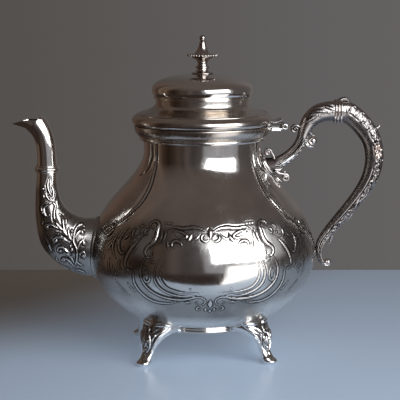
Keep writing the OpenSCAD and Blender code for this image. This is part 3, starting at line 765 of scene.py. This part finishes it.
def handle_strokes(relief):
    """Leaves and scrolls along the outer half of the handle, with a plain inner face."""
    def put(pts, w, h, **more):
        pts = smooth(pts, 5)
        relief.stroke(handle_at(pts[:, 0], pts[:, 1]), w, h, **more)

    along = np.linspace(9.6, 22.6, 160)
    relief.stroke(handle_at(along, 0.02 + 0.03 * np.sin(along * 3.1)), 0.5, 0.40, ditch=1.1)
    relief.stroke(handle_at(along, 0.46 + 0.17 * np.sin(along * 4.2)), 0.5, 0.42, ditch=0.5)
    for k in range(31):
        s = 9.7 + 0.34 * k
        up = 1 if k % 2 else -1
        put([(s, 0.44), (s + 0.16, 0.44 + 0.34 * up), (s + 0.36, 0.46 + 0.30 * up),
             (s + 0.40, 0.46 + 0.10 * up), (s + 0.28, 0.46 + 0.12 * up)], 0.5, 0.5, ends=(0.4, 0.8))
    # The beads below the rosette
    for k in range(3):
        put([(14.75 + 0.22 * k, 0.40), (14.76 + 0.22 * k, 0.40)], 0.9, 0.8, ends=(1, 1))
    # Leaves on the arch and on the strut
    for s0, q0 in ((5.35, 0.0), (6.35, 0.12), (7.3, 0.2)):
        put([(s0, q0 + 0.6), (s0 + 0.5, q0 + 0.30), (s0 + 1.0, q0 + 0.05), (s0 + 1.35, q0 - 0.1)], 0.9, 0.45)
        put([(s0 + 0.4, q0 + 0.75), (s0 + 0.9, q0 + 0.5), (s0 + 1.3, q0 + 0.4)], 0.7, 0.35)
        put([(s0 + 0.2, q0 - 0.05), (s0 + 0.6, q0 - 0.3), (s0 + 1.1, q0 - 0.4)], 0.6, 0.25)
    along = np.linspace(0.8, 4.9, 40)
    relief.stroke(handle_at(along, 0 * along + 0.10), 0.4, 0.2, ditch=2.2)
    put("0.9 -0.20, 2.0 -0.22, 3.1 -0.30, 4.2 -0.55", 1.3, 0.8, ends=(0.6, 0.2), ditch=0.6)
    for k in range(7):
        s0 = 1.2 + 0.42 * k
        put([(s0, -0.50), (s0 + 0.22, -0.72), (s0 + 0.42, -0.88)], 0.55, 0.4)
    # The reeded foot of the grip, and the leaf that turns out of it
    for k in range(3):
        along = np.linspace(19.2, 23.6, 40)
        relief.stroke(handle_at(along, -0.35 + 0.45 * k + 0 * along), 0.5, 0.42, ditch=0.9)
    put("17.0 0.0, 17.5 0.35, 17.9 0.75, 18.15 0.6", 0.9, 0.8)
    put("16.8 0.1, 17.2 0.5, 17.5 0.85", 0.7, 0.6)


def handle_part(name, s0, s1, replaced, first=None):
    m = int(64 / COARSE)
    i0, i1 = int(s0 * STEPS), int(s1 * STEPS)
    step = int(COARSE)
    part = HANDLE_LINE[i0:i1 + 1:step]
    rings = ovals(part, m)
    normal = ring_normals(rings)
    relief = Relief(rings[:, :, [0, 2]])
    handle_strokes(relief)
    h = relief.heights() * np.clip((abs(normal[:, :, 1]) - 0.08) / 0.3, 0.12, 1)
    ends = np.clip(np.minimum(np.arange(len(part)), np.arange(len(part))[::-1]) / 3, 0.2, 1)[:, None]
    rings = rings + normal * (h * ends - 0.25)[..., None]
    if first is not None:
        rings = np.concatenate([first(m), rings[2:]])
        h = np.vstack([np.zeros((1, m)), h[2:]])
    # Painted shade: the strut is darkened where it leaves the pot and along its top, and the grip on its
    # inside
    s = (i0 + step * np.arange(len(rings)))[:, None] / STEPS
    q = np.cos(circle(m))
    shade = np.clip((1.4 - s) / 0.8, 0, 1) + 0.6 * np.clip(q / 0.4 + 0.2, 0, 1) * np.clip(5.2 - s, 0, 1)
    shade = shade + 0.9 * np.clip((-q - 0.25) / 0.4, 0, 1) * np.clip(s - 5, 0, 1)
    tarnish_and_shade = np.r_[np.clip(hollows(h, 4.5) + 0.12 + 0.5 * shade, 0, 1).ravel(), 0, 0]
    make_mesh(name, skin(rings), CAST, replaces=(replaced,), tarnish_and_shade=tarnish_and_shade, crease=60)


def strut_root(m):
    ring = ovals(points("46 131.2 5.4 4.6 90"), m)[0]
    return over_pot(ring[:, 1], ring[:, 2], 1.65, 1)[None]


handle_part("handle_lower_strut", 0, 5, "handle_strut", strut_root)
handle_part("handle_upper_arch", 5, 9, "handle_arch")
handle_part("handle_leaf_grip", 9, 20, "handle_grip")
handle_part("handle_reeded_tail", 20, 24, "handle_tail")


def handle_rings():
    """The three rings between the arch and the grip."""
    t = circle(int(72 / COARSE))
    bars = []
    for k in (-1, 0, 1):
        s = 9 + 0.33 * k
        x, z = handle_at(s, 0.0)
        over = 1.25 - 0.3 * abs(k)
        thick, wide, ang = handle_values(s, 2, 3, 4)
        ang = math.radians(ang)
        prof = joined("-0.3 -0.8", arc(over - 0.75, 0, 0.85, -80, 80, 10), "-0.3 0.8")
        rings = []
        for out, along in prof:
            a = (thick + out) * np.cos(t)
            rings.append(np.stack([x + a * math.cos(ang) + along * math.sin(ang), (wide + out) * np.sin(t),
                                   z + a * math.sin(ang) - along * math.cos(ang)], 1))
        bars.append(np.array(rings))
    bars = together(skin(rings, looped=True) for rings in bars)
    make_mesh("handle_band_rings", bars, CAST, replaces=("handle_band",))


handle_rings()


def scroll(name, line, thick, wide, flat=2.6, tone=0.15, look=CAST):
    """A bar along a line in the XZ plane, thick in that plane and wide across it."""
    line = even(line, 0.5 * COARSE)
    d = unit(np.gradient(line, axis=0))
    ang = np.radians(np.degrees(np.arctan2(d[:, 1], d[:, 0])) + 90)[:, None]
    thick, wide = (spaced(v, len(line))[:, None] for v in (thick, wide))
    c, s = np.cos(circle(SCROLL_SIDES)), np.sin(circle(SCROLL_SIDES))
    c, s = np.sign(c) * abs(c)**(2 / flat), np.sign(s) * abs(s)**(2 / flat)
    rings = np.stack([line[:, :1] + thick * c * np.cos(ang), wide * s,
                      line[:, 1:] + thick * c * np.sin(ang)], 2)
    make_mesh(name, skin(rings), look, tarnish_and_shade=tone)


def on_handle(s, q, side, sunk):
    """A point of the handle's front (side -1) or back (side 1)."""
    wide, = handle_values(s, 3)
    x, z = np.moveaxis(handle_at(s, q), -1, 0)
    return np.stack([x, side * (wide * np.sqrt(1 - np.asarray(q)**2) - sunk), z], -1)


def handle_trim():
    """The worn rosette on the grip and the leaf on the strut, brightened by painted light, on both sides."""
    petals, leaves = [], []
    for side in (-1, 1):
        for k in range(7):
            lean = 2 * math.pi * k / 7
            t = np.linspace(0.25, 1, 9)
            line = on_handle(13.85 + 0.62 * t * math.cos(lean), 0.24 + 0.44 * t * math.sin(lean), side, 0.3)
            petals.append(cord(line, (0.6, 1.2, 1.45, 0.6)))
        t = np.linspace(0, 1, 24)
        line = on_handle(0.7 + 2.2 * t, -0.08 - 0.24 * t, side, 0.35)
        leaves.append(cord(line, (0.6, 1.5, 1.5, 1.1, 0.4)))
    make_mesh("grip_worn_rosette", together(skin(petal) for petal in petals), WORN, tarnish_and_shade=0.12)
    make_mesh("strut_leaf", together(skin(leaf) for leaf in leaves), LIT_CAST_COPY)


handle_trim()
# The curled end by the hinge, the thumb scroll round its ball, the leaf tips on the outside, and the tail
scroll("handle_hinge_scroll",
       joined(spiral(64.6, 156.6, 0.7, 3.0, 200, -1.5), smooth("67.2 158, 70.2 160.4", 6)),
       (0.55, 0.75, 1.0), (2.6, 3.2, 3.6))
ball("handle_hinge_scroll_eye", 64.6, 156.6, 1.1)
scroll("thumb_scroll_cup", smooth("73.2 153.6, 72.4 150.4, 72.6 146.8, 74.6 144.4, 77.6 143.8", 8),
       (1.4, 1.7, 1.4, 0.4), (2.2, 2.9, 2.9, 1.6), flat=2.2, tone=0.0, look=LIT_CAST_COPY)
ball("thumb_scroll_ball", 77.2, 147.9, 3.0)
scroll("thumb_scroll_leaf", smooth("73.6 157.6, 74.9 154.6, 76.6 152.4, 78.4 151.6", 6),
       (1.6, 1.3, 0.4), (2.6, 2.2, 1.0))
scroll("crest_leaf_curl", smooth("92.8 174.4, 96.4 176.6, 99.4 177.3, 101.6 176.2, 102.2 174.4", 7),
       (0.5, 1.3, 1.4, 1.0), (2.4, 3.2, 3.0, 1.8), tone=0.5)
scroll("shoulder_leaf_tip", smooth("118.2 157.4, 121.4 156.6, 123.6 157.6, 124.2 159", 6),
       (1.2, 1.0, 0.4), (2.6, 2.0, 0.9))
scroll("grip_low_leaf", smooth("105.2 96.6, 103.2 93.2, 100.4 91.6, 98.8 92.2", 6),
       (1.1, 1.1, 0.5), (2.8, 2.2, 1.0))
scroll("grip_pointed_leaf", smooth("91.6 81, 90.8 77.6, 89.6 75.4, 88.2 75", 6),
       (1.0, 0.9, 0.4), (2.2, 1.8, 0.9))
ball("handle_tail_ball", 88.8, 61.6, 2.45)
scroll("handle_tail_curl", smooth("84.2 62.4, 86 60.2, 88.6 59.4, 90.6 60.6", 6),
       (0.9, 0.8, 0.5), (3.2, 2.6, 1.2))


def round_pad(name, replaced, zc, r, t_pad):
    """A shaped plate on the pot's wall under the handle."""
    a = circle(64)
    rings = []
    for k, d in ((0.12, t_pad), (0.5, t_pad), (0.8, t_pad), (0.93, t_pad * 0.9), (1.0, t_pad * 0.5),
                 (1.0, 0.02), (0.5, 0.02), (0.12, 0.02)):
        y, z = r * k * np.cos(a), zc + r * k * np.sin(a)
        rings.append(over_pot(y, z, d, 1))
    make_mesh(name, skin(np.array(rings)), CAST, replaces=(replaced,), crease=50)


round_pad("handle_upper_mount", "upper_handle_pad", 131.4, 8.5, 1.6)
round_pad("handle_lower_mount", "lower_handle_pad", 68.5, 5.0, 0.75)
scroll("upper_mount_volute",
       joined(smooth("50.2 135.6, 49.2 138.2, 48 140.2", 5), spiral(45.6, 140.4, 2.4, 0.6, 0, 1.4)),
       (1.1, 0.9, 0.5), (2.6, 2.2, 1.8))
ball("upper_mount_volute_eye", 45.6, 140.4, 1.0)
scroll("lower_mount_volute",
       joined(smooth("51 127.6, 53.6 125.6, 56.8 125", 5), spiral(58, 122.4, 2.6, 0.7, 105, -1.5)),
       (1.3, 1.0, 0.5), (2.6, 2.2, 1.8))
ball("lower_mount_volute_eye", 58, 122.7, 0.95)
ball("lower_mount_knob", 57.6, 126.4, 1.0)
scroll("lower_mount_drop", smooth("52.2 122.4, 53.8 120.6, 55.4 119.6", 5), (0.8, 1.1, 0.6), (1.2, 1.5, 0.8))
scroll("strut_wedge_leaf", smooth("50.4 128.6, 53.4 128, 56.2 129.4", 5), (0.9, 1.2, 0.5), (3.2, 3.4, 2))


# ---------------- feet

FOOT_STATIONS = points("49 24.4 5.2 11.0, 52.3 20.5 4.9 9.2, 54.4 16 4.2 7.2, 55.4 12 3.6 5.6, "
                       "56.8 8 3.3 4.8, 58.6 5 4 4.5, 60.5 3.0 5.2 5.1, 60.7 1.4 5.2 5.1, 60.3 0 4.2 4.2")


def under_pot(r):
    return np.interp(r, LOWER_LINE[:, 0], LOWER_LINE[:, 1])


def foot_rings():
    m = int(84 / COARSE)
    t = circle(m)
    top = []
    for k in (0.15, 0.6, 0.9, 1.0):
        x, y = 45.8 + 4.6 * k * np.cos(t), 12.4 * k * np.sin(t)
        top.append(np.stack([x, y, under_pot(np.hypot(x, y)) + 0.3], 1))
    line = smooth(FOOT_STATIONS, 9)
    rings = np.stack([line[:, :1] + line[:, 2:3] * np.cos(t), line[:, 3:4] * np.sin(t),
                      line[:, 1:2] + 0 * t], 2)
    start, first = top[-1], rings[0]
    between = np.array([start + (first - start) * k for k in (0.25, 0.5, 0.75)])
    rings = np.concatenate([between, rings])
    normal = ring_normals(rings)
    relief = Relief(rings[:, :, [1, 2]])

    def put(pts, w, h, **more):
        for flip in (1, -1):
            relief.stroke(smooth(points(pts) * [flip, 1], 5), w, h, **more)

    put("1.2 9.4, 3.0 12.4, 3.3 16.4, 2.2 20.2, 0.6 22.4", 0.75, 0.9, ends=(0.6, 0.5))
    put("5.0 12.6, 6.4 16.6, 8.0 20.2, 10.8 23.2", 0.9, 0.8)
    put("4.4 16.4, 5.2 19.6, 7.0 22.4", 0.7, 0.7)
    put("0 13.2, 0 16.4, 0 19.2", 1.1, 0.5, mid=1.2)
    put("0.9 10.6, 0 12.2", 0.8, 0.6)
    put("0 8.8, 0 6.2", 0.9, 0.4, ditch=0.6)
    put("2.4 23.6, 5.4 24.6, 8.6 25.6", 0.9, 0.8)
    put("7.4 24.4, 9.4 26.4, 11.4 27", 0.8, 0.6)
    put("0 20.4, 0 23.6, 0 26.6", 0.9, 0.7)
    put("1.6 21.4, 4.2 23.4, 6.6 26.2", 0.8, 0.8)
    put("1.7 13.2, 1.9 16.2, 1.2 19.2", 0.5, 0.6)
    h = relief.heights() * np.clip(normal[:, :, 0] * 1.5, 0.0, 1)
    rings = rings + normal * (h - 0.15)[..., None]
    rings[:, :, 2] = np.maximum(rings[:, :, 2], 0)
    every = np.concatenate([np.array(top), rings])
    heights = np.vstack([np.zeros((len(top), m)), h])
    return every, heights


# The lower edge of the side web, the folded leaf along the pot, and the knob at the ring
FOOT_LINES = ("56.2 4.4 10.5, 54 6.2 15.2, 50.2 8.2 19.2, 44.4 9.8 21.6, 37.8 10.2 22.4",
              "50.6 0.6 25.4, 51 4.4 26.9, 49.6 8.8 27.4, 47.2 12 27",
              "38.6 10.2 22.6, 36.8 10.2 22, 35.6 10.1 21.2")


def web(line):
    """The wall between a foot's lower side edge and the pot."""
    n = unit(np.cross(np.gradient(line, axis=0), [0, 0, 1]))
    top = line.copy()
    top[:, 2] = np.minimum(under_pot(np.hypot(line[:, 0], line[:, 1])) + 0.4, line[:, 2] + 5.5)
    low, mid = line + (top - line) * 0.2, line + (top - line) * 0.55
    right = [low + 1.7 * n, mid + 2.0 * n, top + 1.2 * n]
    left = [top - 1.2 * n, mid - 2.0 * n, low - 1.7 * n]
    return np.stack([line - 0.8 * n, line + 0.8 * n] + right + left, 1)


def feet():
    rings, heights = foot_rings()
    body, bars = skin(rings), []
    tarnish_and_shade = np.r_[np.clip(hollows(heights, 4.5) + 0.05, 0, 1).ravel(), 0, 0]
    for flip in (1, -1):
        edge, fold, knob = (smooth(points(line) * [1, flip, 1], 8) for line in FOOT_LINES)
        bars += [cord(edge, (0.5, 0.8, 0.9, 1.0, 1.1)), web(edge), cord(fold, (0.8, 1.7, 1.6, 0.8)),
                 cord(knob, (1.2, 2.0, 1.5))]
    trim = together(skin(bar) for bar in bars)
    for label, turn in (("front_left", 225), ("front_right", 315), ("rear_left", 135), ("rear_right", 45)):
        c, s = math.cos(math.radians(turn)), math.sin(math.radians(turn))
        turned_there = np.array([[c, s, 0], [-s, c, 0], [0, 0, 1]])
        make_mesh("leaf_foot_" + label, (body[0] @ turned_there, body[1]), LIT_CAST_COPY,
                  replaces=(label + "_foot",), tarnish_and_shade=tarnish_and_shade, crease=60)
        make_mesh("leaf_foot_trim_" + label, (trim[0] @ turned_there, trim[1]), LIT_CAST_COPY)


feet()


# ---------------- lid

LID_Z = 160.3
RIM_FACE = cubic([[46.8, LID_Z], [49.5, LID_Z + 0.4], [50.4, 166], [45.2, 167.6]], 30)
FLARE = cubic("44.6 168.3, 38 170.6, 32.6 171.6, 32.4 176", 30)
SKIRT = joined(RIM_FACE, FLARE, "32.4 178.5")
SKIRT_BEAD = arc(45.0, 168.0, 0.62, -20, 150, 10)
lathe("lid_flared_skirt",
      joined(RIM_FACE[:-2], SKIRT_BEAD, FLARE[1:], SKIRT[-1:], moved(SKIRT, -1)[::-1][:-4],
             [[45.8, LID_Z], [46.8, LID_Z]]),
      PLATE, "lid", ("lid_skirt",), segs=256, crease=30, tone=0.22, dull=0.12)
DOME_TOP = cubic("35.1 184.4, 35.1 190.8, 23 195.4, 1.6 195.4", 50)
DOME = joined("33.4 179.4", cubic("33.4 179.4, 34.6 181.2, 35.1 182.6, 35.1 184.4", 16), DOME_TOP)
lathe("lid_domed_top",
      joined("31.4 178.5, 33.6 178.5", arc(33.8, 178.85, 0.35, -90, 90, 8), DOME, "1.6 194.4",
             moved(DOME, -1)[::-1][1:], "31.4 178.5"),
      PLATE, "lid", ("lid_dome",), segs=256, crease=30)


# ---------------- finial

lathe("finial_foot",
      joined("1.55 195.4, 7.3 195.4", arc(7.2, 195.8, 0.35, -60, 90, 6),
             cubic("6.8 196.15, 4.8 196.5, 3.9 197.2, 3.7 199", 14), "1.55 199, 1.55 195.4"),
      SHADED_FINIAL_PLATE, "lid", ("finial_base",), segs=96, tone=0.1)
lathe("finial_waist",
      joined("1.55 199", arc(4.1, 199.8, 0.8, -90, 90, 12),
             cubic("3.7 200.7, 2.9 202.6, 3.5 204.8, 6.6 206", 20),
             "7.2 206.5, 7 207.1, 1.55 207.1, 1.55 199"),
      SHADED_FINIAL_PLATE, "lid", ("finial_stem",), segs=96, tone=0.1)


def beaded_disc():
    line = joined("1.55 207.1, 8 207.1", cubic("9.7 207.4, 10.2 207.7, 10.2 208.2, 9.2 208.7", 10),
                  "8.6 208.9, 6 209, 1.55 209")
    a = np.radians(np.linspace(-90, 90, 9))
    v, f = skin(turned(np.stack([np.maximum(0.8 * np.cos(a), 0.01), 0.8 * np.sin(a)], 1), circle(12)))
    parts = [skin(turned(line, circle(120)), looped=True)]
    for turn in circle(30):
        parts.append((v + [10.02 * math.cos(turn), 10.02 * math.sin(turn), 208.05], f))
    make_mesh("finial_beaded_disc", together(parts), SHADED_FINIAL_PLATE, "lid", ("finial_disc",))


beaded_disc()
lathe("finial_spire_and_ball",
      joined("0 212, 1.55 212, 1.55 209, 6.2 209", cubic("6.2 209, 3.5 210.8, 2.9 213.6, 2.0 216.8", 20),
             "2.5 217.0, 2.6 217.35, 1.5 217.8", arc(0, 219.75, 2.15, -62, 90, 20)[:-1], "0 221.9"),
      SHADED_FINIAL_PLATE, "lid", ("finial_spire",), segs=72)


# ---------------- hinge

HINGE_X, HINGE_Z, KNUCKLE = 56.8, 158.7, 2.1


def knuckle(y0, y1):
    line = joined([[0.95, y0 + 0.15], [1.1, y0], [1.85, y0]], [[KNUCKLE, y0 + 0.25], [KNUCKLE, y1 - 0.25]],
                  [[1.85, y1], [1.1, y1], [0.95, y1 - 0.15]])
    rings = turned(line, circle(48))
    return skin(np.stack([HINGE_X + rings[:, :, 0], rings[:, :, 2], HINGE_Z + rings[:, :, 1]], 2), True)


def plate(line, thick, y0, y1):
    """A bent plate along a line in the XZ plane, from y0 to y1, with softened edges."""
    d = unit(np.gradient(line, axis=0))
    yc, yh, wh, soft = (y0 + y1) / 2, (y1 - y0) / 2, thick / 2, 0.38
    ring = [(-wh, soft - yh), (soft - wh, -yh), (wh - soft, -yh), (wh, soft - yh),
            (wh, yh - soft), (wh - soft, yh), (soft - wh, yh), (-wh, yh - soft)]
    return skin(np.array([[(x - dz * w, yc + y, z + dx * w) for w, y in ring]
                          for (x, z), (dx, dz) in zip(line, d)]))


def hinge():
    low = smooth("47.7 157.4, 51 157.3, 54.9 157.2", 4)
    foot = points("47.5 156.3, 50.6 156.3, 54.1 156.3")
    tongue = smooth("48.3 160.2, 52 160.3, 55.6 160.3", 4)
    leaf = smooth("48.6 161.7, 51.2 162.0, 53.2 162.8, 54.8 164.0", 4)
    pot_side = [knuckle(-7, -2.82), knuckle(2.82, 7), plate(low, 1.3, -7, -2.82), plate(low, 1.3, 2.82, 7),
                plate(foot, 1.3, -7, 7)]
    middle = [knuckle(-2.5, 2.5), plate(tongue, 1.2, -2.5, 2.5)]
    make_mesh("hinge_pot_leaf", together(pot_side), LIT_CAST_COPY, "pot", ("body_hinge_leaf",), crease=50)
    make_mesh("hinge_lid_knuckle", together(middle), PIN, "lid", crease=50)
    make_mesh("hinge_lid_leaf", plate(leaf, 0.9, -7, 7), LIT_CAST_COPY, "lid", ("lid_hinge_leaf",), crease=50)


hinge()


# ---------------- table, light and camera

CAMERA_TURN = math.radians(-4)
TABLE_THICK = 0.03
# The room's colour round the pot: degrees from the front to the right, and red, green and blue
ROOM = points("-180 0.098 0.091 0.086, -172 0.078 0.070 0.066, -150 0.104 0.067 0.053, "
              "-128 0.040 0.027 0.021, -119 0.160 0.115 0.085, -109 0.085 0.056 0.041, "
              "-98 0.130 0.090 0.066, -88 0.045 0.028 0.020, -74 0.018 0.011 0.008, "
              "-60 0.040 0.027 0.020, -52 0.062 0.044 0.035, -42 0.044 0.033 0.029, "
              "-34 0.086 0.070 0.066, -21 0.048 0.040 0.040, 6 0.075 0.066 0.067, 75 0.090 0.080 0.080, "
              "100 0.078 0.069 0.069, 125 0.096 0.085 0.084, 150 0.165 0.150 0.148, "
              "172 0.120 0.113 0.114, 180 0.098 0.091 0.086")


def table():
    """A pale table, with painted shade that darkens its far left to brown. The metal mirrors only the part
    that is round the pot.
    """
    left, right, front, back, reach = -0.17, 0.36, -0.15, 0.279, 1.6
    mat = bpy.data.materials.new("pale_table")
    mat.use_nodes = True
    nt = mat.node_tree
    x, y, _ = node(nt, "SeparateXYZ", {0: node(nt, "TexCoord", {}, "Object")}).node.outputs
    # Painted shade: the colour blends to dark brown towards the far left corner.
    away = node(nt, "Math", {0: y, 1: x}, operation="SUBTRACT")
    brown = spread(nt, away, 0.08, 0.34, interpolation_type="SMOOTHSTEP")
    shader = nt.nodes["Principled BSDF"].inputs
    connect(nt, blend(nt, brown, (0.43, 0.51, 0.62, 1), (0.165, 0.128, 0.100, 1)), shader["Base Color"])
    connect(nt, 0.30, shader["Roughness"])
    connect(nt, 0.40, shader["Specular IOR Level"])
    plans = {"table_round_pot": [(left, right, front, back)],
             "table_beyond": [(-reach, reach, -reach, front), (-reach, left, front, back),
                              (right, reach, front, back)]}
    c, s = math.cos(CAMERA_TURN), math.sin(CAMERA_TURN)
    for name, plan in plans.items():
        verts, faces = [], []
        for x0, x1, y0, y1 in plan:
            k = len(verts)
            verts += [(x * c - y * s, x * s + y * c, z) for z in (0, -TABLE_THICK)
                      for x, y in ((x0, y0), (x1, y0), (x1, y1), (x0, y1))]
            faces += [[k + i for i in f] for f in ((0, 1, 2, 3), (7, 6, 5, 4), (0, 4, 5, 1), (1, 5, 6, 2),
                                                   (2, 6, 7, 3), (3, 7, 4, 0))]
        me = bpy.data.meshes.new(name)
        me.from_pydata(verts, [], faces)
        ob = bpy.data.objects.new(name, me)
        bpy.context.scene.collection.objects.link(ob)
        me.materials.append(mat)
        ob.visible_glossy = name == "table_round_pot"


def world():
    """A dim room: brown to the left, grey to the right, a plain grey wall behind the pot."""
    room = bpy.data.worlds.new("room")
    bpy.context.scene.world = room
    room.use_nodes = True
    nt = room.node_tree
    x, y, z = node(nt, "SeparateXYZ", {0: node(nt, "TexCoord", {}, "Generated")}).node.outputs
    front = node(nt, "Math", {0: y, 1: -1}, operation="MULTIPLY")
    angle = node(nt, "Math", {0: x, 1: front}, operation="ARCTAN2")
    walls = node(nt, "ValToRGB", {0: spread(nt, angle, -math.pi, math.pi)})
    bar = walls.node.color_ramp.elements
    for k, (degrees, *rgb) in enumerate(ROOM):
        at = (degrees + 180) / 360
        stop = bar[0] if k == 0 else bar[-1] if k == len(ROOM) - 1 else bar.new(at)
        stop.position = at
        stop.color = (*rgb, 1)
    above = blend(nt, spread(nt, z, 0.35, 0.95), walls, (0.102, 0.083, 0.076, 1))
    below = blend(nt, spread(nt, z, -0.24, -0.36), above, (0.030, 0.021, 0.018, 1))
    connect(nt, below, nt.nodes["Background"].inputs["Color"])


def light(name, kind, where, aim, power, colour, shadow=True, mirrored=True, **settings):
    data = bpy.data.lights.new(name, kind)
    data.energy, data.color, data.use_shadow = power, colour, shadow
    for key, value in settings.items():
        setattr(data, key, value)
    ob = bpy.data.objects.new(name, data)
    ob.location = where
    ob.rotation_euler = (Vector(aim) - Vector(where)).to_track_quat("-Z", "Y").to_euler()
    ob.visible_glossy, ob.visible_camera = mirrored, False
    bpy.context.scene.collection.objects.link(ob)


def studio():
    table()
    world()
    for name, where, aim, width, height, power, colour in (
            ("window", (0.80, -1.24, 0.78), (0, 0, 0.36), 1.62, 1.20, 27, (0.90, 0.95, 1.0)),
            ("window_halo", (0.84, -1.30, 0.60), (0, 0, 0.30), 2.30, 1.90, 3.2, (0.86, 0.90, 1.0)),
            ("bright_sill", (0.25, -0.33, -0.085), (0, 0, 0.07), 0.31, 0.32, 0.46, (0.95, 0.97, 1.0))):
        light(name, "AREA", where, aim, power, colour, shape="RECTANGLE", size=width, size_y=height)
    light("table_pool", "SPOT", (0.50, -0.95, 0.80), (0.06, -0.17, 0), 44, (0.86, 0.93, 1.0), shadow=False,
          mirrored=False, spot_size=math.radians(46), spot_blend=1.0, shadow_soft_size=0.25)
    bpy.context.scene.view_settings.view_transform = "Standard"
    data = bpy.data.cameras.new("camera")
    camera = bpy.data.objects.new("camera", data)
    camera.location = (-0.0698, -0.9976, 0.262)
    camera.rotation_euler = (math.radians(90 - 8.81), 0, CAMERA_TURN)
    data.lens = 130.14
    data.sensor_width = 36
    data.shift_x = -0.00625
    data.clip_start, data.clip_end = 0.05, 20
    bpy.context.scene.collection.objects.link(camera)
    bpy.context.scene.camera = camera


studio()
